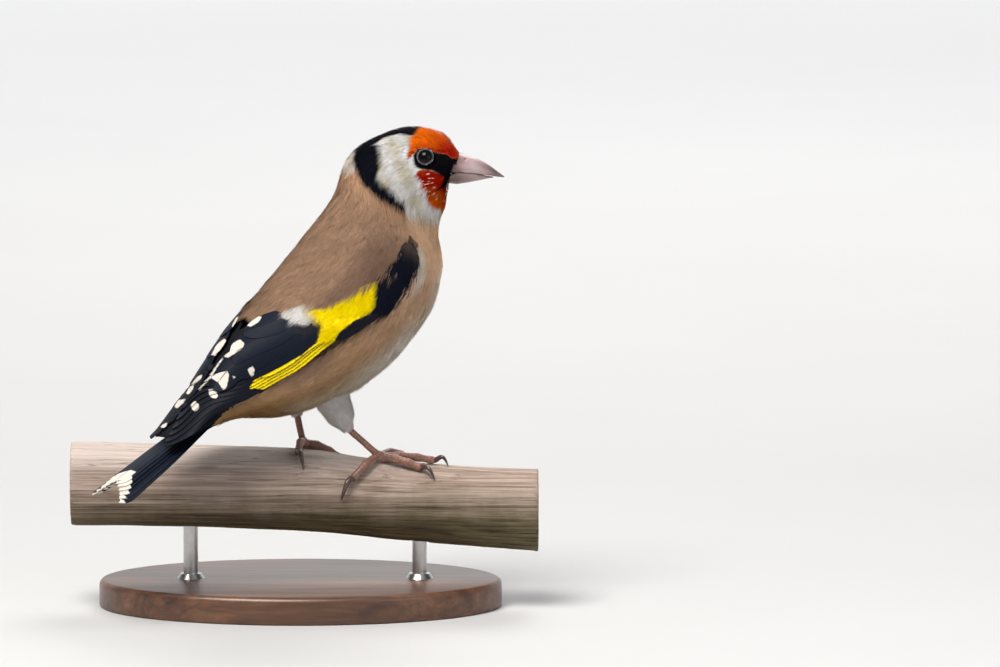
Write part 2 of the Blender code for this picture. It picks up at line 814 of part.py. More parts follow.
def tail_feather(look, pair, side):
    """One tail feather of a pair, 0 in the middle, as a closed flat blade."""
    pitch = math.radians(TAIL_PITCH)
    back = Vector((-math.cos(pitch), 0, -math.sin(pitch)))
    up = Vector((-math.sin(pitch), 0, math.cos(pitch)))
    level = -TAIL_STEP * pair - (TAIL_STEP / 2 if side < 0 else 0)
    length = TAIL_LENGTH + TAIL_FORK * (pair / (TAIL_PAIRS - 1)) ** 1.3
    tip_middle = side * (TAIL_SPREAD * pair + 0.6)
    root_middle = side * 0.18 * pair
    bm = bmesh.new()
    loops = []
    for s, share in TAIL_BLADE:
        middle = root_middle + (tip_middle - root_middle) * s
        half = TAIL_FEATHER_WIDTH / 2 * share
        ring = []
        for edge, face in ((-1, 1), (1, 1), (1, -1), (-1, -1)):
            y = middle + half * edge
            height = level + face * VANE_THICKNESS / 2 - TAIL_ARCH * y * y / 4
            # A slanted end: the inner web reaches a little less far
            reach = length * s - (TAIL_SLANT * s**6 if edge * side < 0 else 0)
            point = Vector((TAIL_ROOT[0], y, TAIL_ROOT[1])) + back * reach + up * height
            ring.append(bird_to_world(*point))
        loops.append([bm.verts.new(point) for point in ring])
    blade_faces(bm, loops)
    return mesh_object("rectrix", bm, look)


def make_tail(look):
    """The tail: its coverts as one taper, with twelve tail feathers."""
    tail = body_piece("tail", look, TORSO_END, RUMP_STATIONS[-1][0], sides=24)
    feathers = []
    for pair in range(TAIL_PAIRS):
        for side in (1, -1):
            feathers.append(tail_feather(look, pair, side))
    combine(tail, feathers, "UNION")
    return tail


def perch_section(x):
    """Height of the centre and the radius of the branch at x."""
    return interpolate(PERCH_STATIONS, min(max(x, PERCH_STATIONS[0][0]), PERCH_STATIONS[-1][0]))


def perch_point(x, angle, lift=0.0):
    """A point of the branch: angle in degrees from its top toward the viewer."""
    height, radius = perch_section(x)
    a = math.radians(angle)
    reach = radius + lift
    return Vector((x, -reach * math.sin(a), height + reach * math.cos(a)))


def foot_joint(foot):
    """Where the toes meet, above the perch."""
    return perch_point(foot[0], foot[1], FOOT_LIFT + GAP)


def thigh_shape(name, look, hip, ankle, grow=0.0):
    """The feathered thigh as a taper from inside the belly to the ankle."""
    start = Vector(hip)
    end = Vector(ankle)
    end += (end - start).normalized() * grow
    points = []
    radii = []
    for i in range(THIGH_STEPS):
        s = i / (THIGH_STEPS - 1)
        points.append(start.lerp(end, s))
        taper = 1 - THIGH_ROUNDING * smooth_step(s, 0.7, 1.0)
        radii.append(lerp(THIGH_TOP_RADIUS, THIGH_END_RADIUS, s) * taper + grow)
    return tube_object(name, look, points, radii, 18, up=Vector((0.3, 1, 0)))


def make_leg(side_name, hip, ankle, foot, toes, thigh_look, scale_look, claw_look):
    """Thigh, shank, foot and claws of one leg."""
    thigh = thigh_shape("thigh_" + side_name, thigh_look, hip, ankle)
    belly = bmesh.new()
    skin_rings(belly, body_rings(RUMP_STATIONS, 10, 22, 2.2, 32, lift=GAP, bed=False))
    combine(thigh, [mesh_object("belly", belly, None)], "DIFFERENCE")
    joint = foot_joint(foot)
    start = Vector(ankle)
    along = (joint - start).normalized()
    end = joint - along * (FOOT_RADIUS + GAP)
    shank_points = [start.lerp(end, s) for s in (0, 0.5, 0.88, 1)]
    shank_radii = [SHANK_RADIUS * k for k in (1.0, 0.92, 1.0, 1.15)]
    shank = tube_object(
        "shank_" + side_name, scale_look, shank_points, shank_radii, 12, up=Vector((0, 1, 0)),
    )
    combine(shank, [thigh_shape("thigh_clearance", None, hip, ankle, GAP)], "DIFFERENCE")
    pad = sphere_object("foot_" + side_name, scale_look, joint, FOOT_RADIUS, 10, 7)
    pieces = []
    for number, (end_x, end_angle, claw_x, claw_angle, arch) in enumerate(toes, 1):
        pieces.append(toe(scale_look, foot, end_x, end_angle))
        claw_name = "claw_%s_%d" % (side_name, number)
        claw(claw_name, claw_look, foot, end_x, end_angle, claw_x, claw_angle, arch)
    combine(pad, pieces, "UNION")


def toe_path(foot, end_x, end_angle, s):
    """A point of a toe's centre line over the perch, s from 0 at the joint to 1 at its end."""
    x = foot[0] + (end_x - foot[0]) * s
    angle = foot[1] + (end_angle - foot[1]) * s
    knuckle = 0.35 * math.sin(math.pi * s)
    lift = TOE_RADIUS + GAP + (FOOT_LIFT - TOE_RADIUS) * (1 - s) + knuckle
    return perch_point(x, angle, lift)


def toe(look, foot, end_x, end_angle):
    """One toe, with a slight swelling at each joint."""
    last = TOE_STEPS - 1
    points = [toe_path(foot, end_x, end_angle, i / last) for i in range(TOE_STEPS)]
    radii = [TOE_RADIUS * (0.98 - 0.02 * i + (0.12 if i in (2, 4, 6) else 0)) for i in range(TOE_STEPS)]
    radii[-1] = TOE_RADIUS * 0.8
    return tube_object("toe", look, points, radii, 8, up=Vector((0.1, 0.3, 1)))


def claw(name, look, foot, end_x, end_angle, claw_x, claw_angle, arch):
    """A curved claw that goes on from the end of its toe, arched over the perch."""
    start = toe_path(foot, end_x, end_angle, 1.0)
    before = toe_path(foot, end_x, end_angle, 1 - 1 / (TOE_STEPS - 1))
    along = (start - before).normalized()
    points = [start + along * GAP, start + along * (GAP + 0.35)]
    radii = [TOE_RADIUS * 0.72, TOE_RADIUS * 0.72]
    for i in range(2, CLAW_STEPS):
        s = i / (CLAW_STEPS - 1)
        x = end_x + (claw_x - end_x) * s
        angle = end_angle + (claw_angle - end_angle) * s
        lift = TOE_RADIUS + GAP + arch * math.sin(math.pi * s) * 0.8 - (TOE_RADIUS - 0.2) * s**2
        points.append(perch_point(x, angle, lift) + along * (GAP + 0.35) * (1 - s))
        radii.append(TOE_RADIUS * 0.72 * (1 - s) ** 0.7 + 0.13)
    tube_object(name, look, points, radii, 6, up=Vector((0.1, 0.3, 1)))


def cylinder_object(name, look, x, bottom, top, radius, sides=ROD_SIDES):
    """An upright round bar."""
    points = [Vector((x, 0, bottom)), Vector((x, 0, top))]
    return tube_object(name, look, points, [radius, radius], sides, up=Vector((0, 1, 0)))


def make_perch(look):
    """The cut branch, with a blind hole for each rod."""
    bm = bmesh.new()
    first, last = PERCH_STATIONS[0][0], PERCH_STATIONS[-1][0]
    rings = []
    for i in range(PERCH_RINGS):
        x = first + (last - first) * i / (PERCH_RINGS - 1)
        ring = [perch_point(x, 360 * k / PERCH_SIDES) for k in range(PERCH_SIDES)]
        rings.append(ring)
    skin_rings(bm, rings)
    perch = mesh_object("perch", bm, look)
    holes = []
    for x in ROD_PLACES:
        height, radius = perch_section(x)
        top = height - radius + ROD_DEPTH_PERCH + GAP
        holes.append(cylinder_object("hole", None, x, height - radius - 3, top, ROD_RADIUS + GAP))
    combine(perch, holes, "DIFFERENCE")


def make_stand(base_look, rod_look):
    """The flat oval base and two short rods up into the branch."""
    bm = bmesh.new()
    rings = []
    for height, inset in (
        (0.0, BASE_CHAMFER / 2),
        (BASE_CHAMFER / 2, 0.0),
        (BASE_HEIGHT - BASE_CHAMFER, 0.0),
        (BASE_HEIGHT, BASE_CHAMFER),
    ):
        ring = []
        for k in range(BASE_SIDES):
            a = 2 * math.pi * k / BASE_SIDES
            x = (BASE_LENGTH / 2 - inset) * math.cos(a)
            y = (BASE_WIDTH / 2 - inset) * math.sin(a)
            ring.append(Vector((x, y, height)))
        rings.append(ring)
    skin_rings(bm, rings)
    base = mesh_object("stand_base", bm, base_look)
    holes = []
    floor_of_hole = BASE_HEIGHT - ROD_DEPTH_BASE
    for side_name, x in zip(("left", "right"), ROD_PLACES):
        holes.append(cylinder_object("hole", None, x, floor_of_hole, BASE_HEIGHT + 3, ROD_RADIUS + GAP))
        height, radius = perch_section(x)
        cylinder_object(
            "stand_rod_" + side_name, rod_look, x,
            floor_of_hole + GAP, height - radius + ROD_DEPTH_PERCH, ROD_RADIUS,
        )
    combine(base, holes, "DIFFERENCE")


def clear_scene():
    """Removes what the scene holds."""
    for item in list(bpy.data.objects):
        bpy.data.objects.remove(item)


def scale_to_metres():
    """Turns every mesh from millimetres to metres."""
    for mesh in {item.data for item in bpy.data.objects if item.type == "MESH"}:
        mesh.transform(Matrix.Scale(METRES, 4))
        mesh.update()


def main():
    """Builds the bird, its perch and its stand."""
    clear_scene()
    red = material("face", (0.55, 0.02, 0.02), 0.7)
    tan = material("plumage", (0.42, 0.28, 0.18), 0.8)
    pale = material("pale_plumage", (0.7, 0.66, 0.6), 0.8)
    black = material("flight_feathers", (0.02, 0.022, 0.03), 0.45)
    ivory = material("bill", (0.75, 0.58, 0.48), 0.4)
    iris = material("eye", (0.02, 0.012, 0.01), 0.08)
    scaled = material("leg_skin", (0.45, 0.27, 0.22), 0.5)
    horn = material("claw", (0.16, 0.1, 0.08), 0.4)
    bark = material("weathered_wood", (0.5, 0.42, 0.36), 0.85)
    walnut = material("base_wood", (0.16, 0.09, 0.05), 0.4)
    steel = material("rod_steel", (0.55, 0.55, 0.56), 0.3, 1.0)

    make_head(red)
    body_piece("neck", tan, HEAD_END, NECK_END)
    body_piece("torso", tan, NECK_END, TORSO_END, per_place=2.6)
    make_bill(ivory)
    for side, side_name in ((-1, "right"), (1, "left")):
        centre, _ = eye_centre(side)
        sphere_object("eye_" + side_name, iris, centre, EYE_RADIUS)
        make_wing(side, "wing_" + side_name, black)
    make_tail(black)
    make_leg("right", RIGHT_HIP, RIGHT_ANKLE, RIGHT_FOOT, RIGHT_TOES, pale, scaled, horn)
    make_leg("left", LEFT_HIP, LEFT_ANKLE, LEFT_FOOT, LEFT_TOES, pale, scaled, horn)
    make_perch(bark)
    make_stand(walnut, steel)
    scale_to_metres()


main()
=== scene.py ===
"""Looks of the goldfinch model: skin, feathers, eyes, bill, feet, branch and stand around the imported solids.

Lengths named here are in millimetres unless a name says otherwise, and meshes are in metres.
The bird's form is given by stations along its body. A place on it is (place, angle): the place
counts stations from the bill to the tail, and the angle goes in degrees from the back down the
side, positive on the bird's left and negative on its right. Markings are drawn in the profile
view of the right side, in the picture's frame of 1000 by 667, and the left side mirrors them.
"""

import itertools
import math

import bmesh
import bpy
import numpy as np
from mathutils import Matrix, Vector, kdtree, noise


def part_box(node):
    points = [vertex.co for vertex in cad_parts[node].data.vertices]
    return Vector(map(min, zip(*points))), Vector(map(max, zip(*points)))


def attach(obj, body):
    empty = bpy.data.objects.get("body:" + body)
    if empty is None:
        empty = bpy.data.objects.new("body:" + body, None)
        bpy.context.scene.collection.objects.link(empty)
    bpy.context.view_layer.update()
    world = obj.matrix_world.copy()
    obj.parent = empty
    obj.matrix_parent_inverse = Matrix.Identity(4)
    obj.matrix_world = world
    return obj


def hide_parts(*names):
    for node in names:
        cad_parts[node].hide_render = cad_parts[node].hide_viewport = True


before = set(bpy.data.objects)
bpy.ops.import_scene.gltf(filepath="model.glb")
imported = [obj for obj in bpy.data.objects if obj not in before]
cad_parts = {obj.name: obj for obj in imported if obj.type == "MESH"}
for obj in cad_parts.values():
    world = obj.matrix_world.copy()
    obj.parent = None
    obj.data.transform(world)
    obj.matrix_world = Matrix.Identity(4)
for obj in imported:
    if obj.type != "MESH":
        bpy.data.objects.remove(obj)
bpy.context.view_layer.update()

MM = 0.001
SEED = 41

# The picture's view: millimetres for each pixel, the pixel of the origin, and the camera
PIXEL = 0.218
ORIGIN_PIXEL = (300.0, 606.0)
ELEVATION = 7.0
CAMERA_AIM = (43.6, 0.0, 59.85)
CAMERA_DISTANCE = 2000.0
FIELD_WIDTH = 218.0
SENSOR = 36.0

# Stance and stations, as in the solids
STANCE_POINT = (8.5, 1.0)
BODY_TURN = 30.0
NECK_PIVOT_X = 14.1
FRONT_STATIONS = (
    (0, 28.3, 98.4, 25.9, 91.0, 3.7, 3),
    (1, 26.6, 100.5, 25.3, 89.5, 5.5, 3),
    (2, 24.0, 102.7, 25.0, 87.8, 7.0, 3),
    (4, 16.3, 104.1, 23.8, 84.2, 8.5, 4),
    (6, 8.2, 101.4, 23.5, 80.4, 9.0, 9),
    (7, 4.6, 98.9, 23.8, 78.4, 9.2, 13),
    (8, 2.4, 95.7, 24.2, 76.4, 9.6, 18),
    (10, 0.0, 89.5, 24.1, 71.7, 11.8, 27),
    (12, -7.7, 80.5, 20.8, 64.2, 14.6, 30),
    (14, -19.0, 68.8, 11.4, 53.8, 15.3, 30),
    (15, -24.3, 63.5, 5.0, 49.3, 14.5, 30),
    (16, -27.9, 59.8, -1.3, 45.7, 13.0, 30),
    (18, -32.9, 54.1, -14.7, 42.6, 9.4, 30),
)
RUMP_STATIONS = FRONT_STATIONS + (
    (20, -34.8, 46.6, -27.5, 42.3, 5.6, 30),
    (22, -40.6, 40.1, -39.3, 37.6, 4.2, 30),
)
WING_STATIONS = FRONT_STATIONS + (
    (20, -36.6, 48.5, -32.4, 43.3, 8.0, 30),
    (22, -42.2, 41.7, -39.5, 38.3, 7.8, 30),
    (24, -49.0, 36.0, -46.6, 33.0, 7.5, 30),
)
# Outline of the folded wing on the form: (place, upper angle, lower angle)
WING_EDGES = (
    (10.0, 85, 95),
    (10.6, 82, 102),
    (11.3, 80, 105),
    (12.2, 76, 104),
    (12.9, 66, 98),
    (13.7, 53, 88),
    (14.5, 24, 81),
    (15.1, 0, 78.5),
    (16.0, 0, 78.5),
    (17.0, 0, 78),
    (18.0, 0, 80),
    (19.0, 0, 87),
    (20.0, 0, 93),
    (21.0, 0, 86),
    (22.0, 0, 64),
    (23.0, 0, 38),
    (23.6, 0, 24),
)

# Outlines of the markings in the profile view
BLACK_CAP = (
    (420, 116), (395, 118), (366, 128), (348, 141), (355, 147), (352, 161), (356, 172),
    (362, 184), (374, 196), (383, 203), (394, 209), (407, 217), (404, 203), (396, 198),
    (389, 190), (380, 184), (377, 177), (380, 167), (380, 157), (379, 148), (375, 144),
    (384, 137), (399, 134), (407, 136), (414, 136), (421, 128),
)
WHITE_FACE = (
    (375, 144), (384, 137), (399, 134), (414, 136), (430, 150), (452, 190), (440, 225),
    (427, 224), (417, 222), (407, 216), (402, 205), (394, 202), (388, 192), (380, 185),
    (377, 177), (380, 167), (380, 157), (379, 148),
)
WHITE_NAPE = (
    (355, 147), (344, 150), (338, 172), (350, 174), (357, 174), (353, 163),
)
RED_FOREHEAD = (
    (421, 128), (421, 118), (452, 120), (470, 150), (458, 158), (452, 158), (447, 154),
    (437, 153), (427, 149), (419, 148), (413, 154), (408, 160), (408, 153), (410, 146),
    (410, 138), (414, 136),
)
BLACK_MASK = (
    (419, 148), (427, 149), (437, 153), (447, 154), (452, 158), (462, 158), (462, 190),
    (449, 190), (443, 193), (437, 195), (426, 197), (427, 190), (437, 187), (440, 183),
    (441, 179), (438, 174), (433, 171), (419, 169), (414, 165), (413, 158), (413, 154),
)
RED_CHEEK = (
    (419, 171), (427, 170), (435, 172), (444, 178), (442, 185), (437, 190), (427, 193),
    (422, 189), (420, 181), (415, 176),
)
RED_CHIN = (
    (427, 194), (437, 191), (446, 187), (456, 186), (460, 196), (447, 206), (440, 208),
    (433, 209), (428, 203), (426, 198),
)
YELLOW_PANEL = (
    (376, 280), (361, 282), (344, 283), (321, 293), (309, 300), (303, 309), (311, 318),
    (322, 326), (321, 333), (316, 344), (303, 355), (278, 368), (256, 380), (251, 388),
    (266, 389), (288, 376), (311, 364), (337, 348), (335, 336), (344, 329), (354, 321),
    (371, 313), (374, 309),
)
PALE_PATCH = (
    (281, 315), (292, 311), (303, 307), (311, 315), (322, 327), (303, 327), (292, 325),
    (284, 320),
)


def srgb(red, green, blue):
    """Linear colour of a screen colour given from 0 to 255."""
    values = np.array((red, green, blue), float) / 255
    return np.where(values <= 0.04045, values / 12.92, ((values + 0.055) / 1.055) ** 2.4)


# Plumage colours
CAP_BLACK = srgb(12, 14, 24)
MASK_BLACK = srgb(8, 8, 11)
FACE_WHITE = srgb(222, 220, 218)
FACE_CREAM = srgb(200, 192, 172)
NAPE_WHITE = srgb(226, 214, 200)
FLAME_ORANGE = srgb(240, 110, 0)
DEEP_RED = srgb(160, 20, 0)
MANTLE_TAN = srgb(168, 135, 109)
NECK_BUFF = srgb(190, 148, 114)
SCAPULAR_GREY = srgb(140, 111, 93)
BREAST_BUFF = srgb(216, 178, 144)
FLANK_TAN = srgb(192, 154, 116)
BELLY_WHITE = srgb(222, 212, 198)
VENT_BUFF = srgb(178, 142, 100)
THIGH_GREY = srgb(206, 200, 196)
WING_BLACK = srgb(13, 16, 26)
SILK_BLACK = srgb(10, 18, 32)
BRIGHT_YELLOW = srgb(255, 224, 0)
TIP_CREAM = srgb(212, 204, 193)
PATCH_WHITE = srgb(240, 236, 230)
SHAFT_PINK = srgb(236, 196, 188)
COVERT_GREY = srgb(98, 84, 76)

# The eye's place and angle on the form, its size, and the ring of its lids
EYE_PLACE = 3.4
EYE_ANGLE = 66.0
EYE_RADIUS = 2.1
EYE_SUNK = 1.55
EYE_CLEARANCE = 1.8
LID_RADIUS = 1.6
LID_THICKNESS = 0.22
BEAD_COUNT = 34
BEAD_REACH = 1.74
BEAD_GREY = srgb(150, 150, 154)
LID_BLACK = srgb(22, 22, 26)


def smooth(value, low, high):
    """0 at low, 1 at high and smooth between, for arrays."""
    f = np.clip((value - low) / (high - low), 0, 1)
    return f * f * (3 - 2 * f)


def bell(value, middle, width):
    """1 at the middle and falling off on both sides."""
    return np.exp(-((value - middle) / width) ** 2)


def curve(rows, places):
    """Values of the rows at the places, on a smooth curve; the first column is the place."""
    table = np.array(rows, float)
    keys = table[:, 0]
    last = len(keys) - 1
    slopes = np.empty_like(table)
    for i in range(last + 1):
        low, high = max(i - 1, 0), min(i + 1, last)
        slopes[i] = (table[high] - table[low]) / (keys[high] - keys[low])
    index = np.clip(np.searchsorted(keys, places, side="right") - 1, 0, last - 1)
    span = (keys[index + 1] - keys[index])[:, None]
    f = np.clip((places - keys[index])[:, None] / span, 0, 1)
    values = (2 * f**3 - 3 * f**2 + 1) * table[index] + (3 * f**2 - 2 * f**3) * table[index + 1]
    values += (f**3 - 2 * f**2 + f) * slopes[index] * span
    values += (f**3 - f**2) * slopes[index + 1] * span
    return values[:, 1:]


def bird_to_world(x, y, z, turn=BODY_TURN):
    """Points of the bird in the world, turned about the vertical through the neck."""
    body = math.radians(BODY_TURN)
    pivot_x = STANCE_POINT[0] + NECK_PIVOT_X * math.cos(body)
    pivot_y = STANCE_POINT[1] + NECK_PIVOT_X * math.sin(body)
    angle = np.radians(turn)
    forward = x - NECK_PIVOT_X
    return np.stack((
        pivot_x + forward * np.cos(angle) - y * np.sin(angle),
        pivot_y + forward * np.sin(angle) + y * np.cos(angle),
        z + 0 * forward,
    ), axis=-1)


def form(rows, places, angles, lifts=0.0):
    """Points of the bird's form at places and angles, raised by the lifts."""
    places, angles, lifts = (np.ravel(a) for a in np.broadcast_arrays(places, angles, lifts))
    places = places.astype(float)
    back_x, back_z, under_x, under_z, half_width, turn = curve(rows, places).T
    a = np.radians(angles)
    up_x, up_z = (back_x - under_x) / 2, (back_z - under_z) / 2
    half_height = np.hypot(up_x, up_z)
    normal_x = up_x * np.cos(a) / half_height**2
    normal_z = up_z * np.cos(a) / half_height**2
    normal_y = np.sin(a) / half_width
    size = np.sqrt(normal_x**2 + normal_y**2 + normal_z**2)
    x = (back_x + under_x) / 2 + up_x * np.cos(a) + lifts * normal_x / size
    z = (back_z + under_z) / 2 + up_z * np.cos(a) + lifts * normal_z / size
    y = half_width * np.sin(a) + lifts * normal_y / size
    return bird_to_world(x, y, z, turn)


def frames(rows, places, angles):
    """Points, change for each place, change for each degree and outward normals of the form."""
    points = form(rows, places, angles)
    by_place = (form(rows, places + 0.05, angles) - points) / 0.05
    behind = (points - form(rows, places - 0.05, angles)) / 0.05
    by_place = np.where(np.linalg.norm(by_place, axis=1)[:, None] > 1e-6, by_place, behind)
    by_angle = (form(rows, places, angles + 0.5) - points) / 0.5
    normals = form(rows, places, angles, 1.0) - points
    return points, by_place, by_angle, normals / np.linalg.norm(normals, axis=1)[:, None]


def eye_spot(side=-1):
    """Where an eye sits: its point, change for each place and degree, and outward normal."""
    return frames(RUMP_STATIONS, np.array([EYE_PLACE]), np.array([side * EYE_ANGLE]))


def profile(rows, places, angles):
    """Where points of the form lie in the profile view, with the left side mirrored."""
    return picture(form(rows, places, -np.abs(angles)))


def picture(points):
    """Pixels of points in the picture's view."""
    tilt = math.radians(ELEVATION)
    across = ORIGIN_PIXEL[0] + points[:, 0] / PIXEL
    height = points[:, 2] * math.cos(tilt) + points[:, 1] * math.sin(tilt)
    down = ORIGIN_PIXEL[1] - height / PIXEL
    return across, down


def inside(outline, across, down):
    """Distance in pixels into an outline, negative outside it."""
    corners = np.array(outline, float)
    following = np.roll(corners, -1, axis=0)
    nearest = np.full(across.shape, 1e9)
    within = np.zeros(across.shape, bool)
    for (x0, y0), (x1, y1) in zip(corners, following):
        edge_x, edge_y = x1 - x0, y1 - y0
        f = ((across - x0) * edge_x + (down - y0) * edge_y) / (edge_x**2 + edge_y**2)
        f = np.clip(f, 0, 1)
        nearest = np.minimum(nearest, np.hypot(across - x0 - f * edge_x, down - y0 - f * edge_y))
        crosses = (y0 > down) != (y1 > down)
        level = np.where(crosses, down - y0, 0) / (edge_y if edge_y else 1.0)
        within ^= crosses & (across < x0 + level * edge_x)
    return np.where(within, nearest, -nearest)


def blend_in(colours, colour, mask):
    """Lays a colour over the colours by a mask."""
    return colours + (np.asarray(colour) - colours) * mask[:, None]


def wavy(values, scale, seed):
    """Smooth random values from about -1 to 1 that change over two or three coordinates."""
    out = np.zeros(len(values[0]))
    rng = np.random.default_rng(seed)
    for _ in range(6):
        direction = rng.normal(size=len(values))
        direction *= rng.uniform(0.6, 1.7) / np.linalg.norm(direction)
        phase = rng.uniform(0, 2 * math.pi)
        out += np.sin(sum(d * v for d, v in zip(direction, values)) / scale + phase)
    return out / 2.4


def plumage(places, angles):
    """Colour of the body plumage at places and angles of the form."""
    a = np.abs(angles)
    across, down = profile(RUMP_STATIONS, places, angles)
    colours = np.tile(MANTLE_TAN, (len(places), 1))
    fine = wavy((across, down), 4.0, 3)
    broad = wavy((across, down), 14.0, 4)
    colours = blend_in(colours, NECK_BUFF, smooth(-places, -10.5, -7.5))
    colours = blend_in(colours, SCAPULAR_GREY, smooth(places, 10.0, 11.5) * smooth(a, 42, 62))
    breast = smooth(a, 84, 102) * (1 - smooth(places, 18, 20) * 0.4)
    colours = blend_in(colours, BREAST_BUFF, breast)
    flank = smooth(a, 78, 95) * smooth(places, 12.6, 14.0)
    colours = blend_in(colours, FLANK_TAN, flank * (0.75 + 0.25 * broad))
    belly = smooth(a, 118 - 14 * smooth(places, 11, 15), 152 - 16 * smooth(places, 11, 15))
    belly *= smooth(places, 9.6, 11.2) * (1 - smooth(places, 17.4, 19.5))
    colours = blend_in(colours, BELLY_WHITE, np.clip(belly * (0.95 + 0.2 * broad), 0, 1))
    colours = blend_in(colours, VENT_BUFF, smooth(places, 16.6, 19.0) * smooth(a, 45, 75))
    middle = smooth(a, 140, 172) * (1 - smooth(places, 13, 17))
    colours = blend_in(colours, BELLY_WHITE, middle * smooth(places, 9.0, 12.0))
    # Pale tips over the front edge of the wing
    _, lower = wing_angles(places)
    pale = smooth(a, lower - 4, lower + 1) * (1 - smooth(a, lower + 5, lower + 12))
    pale *= smooth(places, 9.9, 10.3) * (1 - smooth(places, 11.6, 12.4))
    colours = blend_in(colours, BELLY_WHITE * 1.05, pale * 0.9)
    white = smooth(inside(PALE_PATCH, across, down), -1.5, 2.0)
    colours = blend_in(colours, FACE_WHITE, white * (a < 75))
    # Head
    head = (places < 8.8).astype(float)
    face = smooth(inside(WHITE_FACE, across, down), -0.8, 0.8) * head
    throat = smooth(a, 118, 135) * (1 - smooth(places, 4.7, 5.5))
    face = np.maximum(face, throat)
    cream = np.clip(0.35 + 0.9 * wavy((across, down), 5.0, 9), 0, 1)
    colours = blend_in(colours, FACE_WHITE + (FACE_CREAM - FACE_WHITE) * cream[:, None], face)
    nape = smooth(inside(WHITE_NAPE, across, down), -1.0, 1.0) * head
    colours = blend_in(colours, NAPE_WHITE, nape)
    cap = smooth(inside(BLACK_CAP, across, down), -0.6, 0.6) * head
    colours = blend_in(colours, CAP_BLACK, cap * (a < 125))
    colours = blend_in(colours, MASK_BLACK, smooth(inside(BLACK_MASK, across, down), -0.6, 0.6) * head)
    fire = smooth(down + 0.5 * (across - 430), 128, 158) * 0.95 + 0.1 * fine
    flame = FLAME_ORANGE + (DEEP_RED - FLAME_ORANGE) * np.clip(fire, 0, 1)[:, None]
    forehead = smooth(inside(RED_FOREHEAD, across, down), -0.6, 0.6) * head
    colours = blend_in(colours, flame, forehead)
    fire = 1 - smooth(down, 186, 206) * 0.65
    flame = FLAME_ORANGE + (DEEP_RED - FLAME_ORANGE) * np.clip(fire + 0.15 * fine, 0, 1)[:, None]
    chin = np.maximum(inside(RED_CHEEK, across, down), inside(RED_CHIN, across, down))
    chin = np.maximum(chin, (a > 140) * (1 - smooth(places, 3.1, 3.6)) * 2 - 1)
    colours = blend_in(colours, flame, smooth(chin, -0.6, 0.6) * head)
    colours = blend_in(colours, MASK_BLACK, (1 - smooth(places, 0.35, 0.6)) * smooth(a, 60, 80))
    # Darker and warmer low on the flanks and under the tail: partly the plumage's own warmer brown, partly
    # painted shade of the underside
    low = smooth(places, 13.8, 16.4) * smooth(a, 90, 118)
    colours = blend_in(colours, colours * np.array((0.7, 0.63, 0.5)), low)
    bright = smooth(a, 95, 115) * smooth(places, 7.6, 8.6) * (1 - smooth(places, 11.0, 12.5))
    colours = blend_in(colours, colours * 1.18, bright)
    return colours * (1 + 0.05 * fine + 0.04 * broad)[:, None]


def link(made, name_of_slot, *nodes):
    """Puts a finished piece on the body, in place of the nodes."""
    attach(made, "root")
    if nodes:
        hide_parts(*nodes)


def mesh_object(name, mesh, look=None):
    """An object in the scene for a mesh."""
    made = bpy.data.objects.new(name, mesh)
    bpy.context.scene.collection.objects.link(made)
    if look is not None:
        mesh.materials.append(look)
    return made


def bmesh_object(name, bm, look=None):
    """An object in the scene from a bmesh."""
    mesh = bpy.data.meshes.new(name)
    bm.to_mesh(mesh)
    bm.free()
    mesh.shade_smooth()
    return mesh_object(name, mesh, look)


def applied(made):
    """Replaces an object's mesh with its evaluated mesh."""
    depsgraph = bpy.context.evaluated_depsgraph_get()
    mesh = bpy.data.meshes.new_from_object(made.evaluated_get(depsgraph))
    old = made.data
    made.modifiers.clear()
    made.data = mesh
    bpy.data.meshes.remove(old)


def joined_copy(name, node_names, extra=()):
    """One mesh of copies of CAD nodes, with their doubled vertices merged, and further meshes."""
    bm = bmesh.new()
    for node_name in node_names:
        bm.from_mesh(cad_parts[node_name].data)
    bmesh.ops.remove_doubles(bm, verts=bm.verts, dist=1e-6)
    for other in extra:
        bm.from_mesh(other.data)
        bpy.data.objects.remove(other)
    return bmesh_object(name, bm)


def refined(made, voxel, smoothing):
    """A finer, smoother mesh of the object's closed forms."""
    remesh = made.modifiers.new("remesh", "REMESH")
    remesh.mode = "VOXEL"
    remesh.voxel_size = voxel * MM
    remesh.use_smooth_shade = True
    relax = made.modifiers.new("relax", "SMOOTH")
    relax.factor = 0.5
    relax.iterations = smoothing
    applied(made)


def vertex_array(mesh):
    """Coordinates of a mesh in metres."""
    co = np.empty(len(mesh.vertices) * 3)
    mesh.vertices.foreach_get("co", co)
    return co.reshape(-1, 3)


def vertex_normals(mesh):
    """Unit normals of a mesh."""
    normals = np.empty(len(mesh.vertices) * 3)
    mesh.vertices.foreach_get("normal", normals)
    return normals.reshape(-1, 3)


def nearest_of(points, spots):
    """For each spot, the number of the nearest point."""
    tree = kdtree.KDTree(len(points))
    for i, point in enumerate(points.tolist()):
        tree.insert(point, i)
    tree.balance()
    return np.array([tree.find(spot)[1] for spot in spots.tolist()])


def bridged(bm, ring, previous):
    """The edges of a ring of vertices, bridged to the edges of the ring before it."""
    members = set(ring)
    edges = [edge for edge in bm.edges if edge.verts[0] in members and edge.verts[1] in members]
    if previous:
        bmesh.ops.bridge_loops(bm, edges=previous + edges)
    return edges


def ring_through(bm, spots, previous):
    """The edges of a ring through spots in millimetres, bridged to the ring before it."""
    ring = bmesh.ops.create_circle(bm, segments=len(spots), radius=1.0)["verts"]
    for vert, spot in zip(ring, spots * MM):
        vert.co = spot
    return bridged(bm, ring, previous)


def set_tint(mesh, colours):
    """Stores linear colours on the vertices as the attribute tint."""
    layer = mesh.color_attributes.new("tint", "FLOAT_COLOR", "POINT")
    rgba = np.ones((len(colours), 4))
    rgba[:, :3] = np.clip(colours, 0, 1)
    layer.data.foreach_set("color", rgba.ravel())


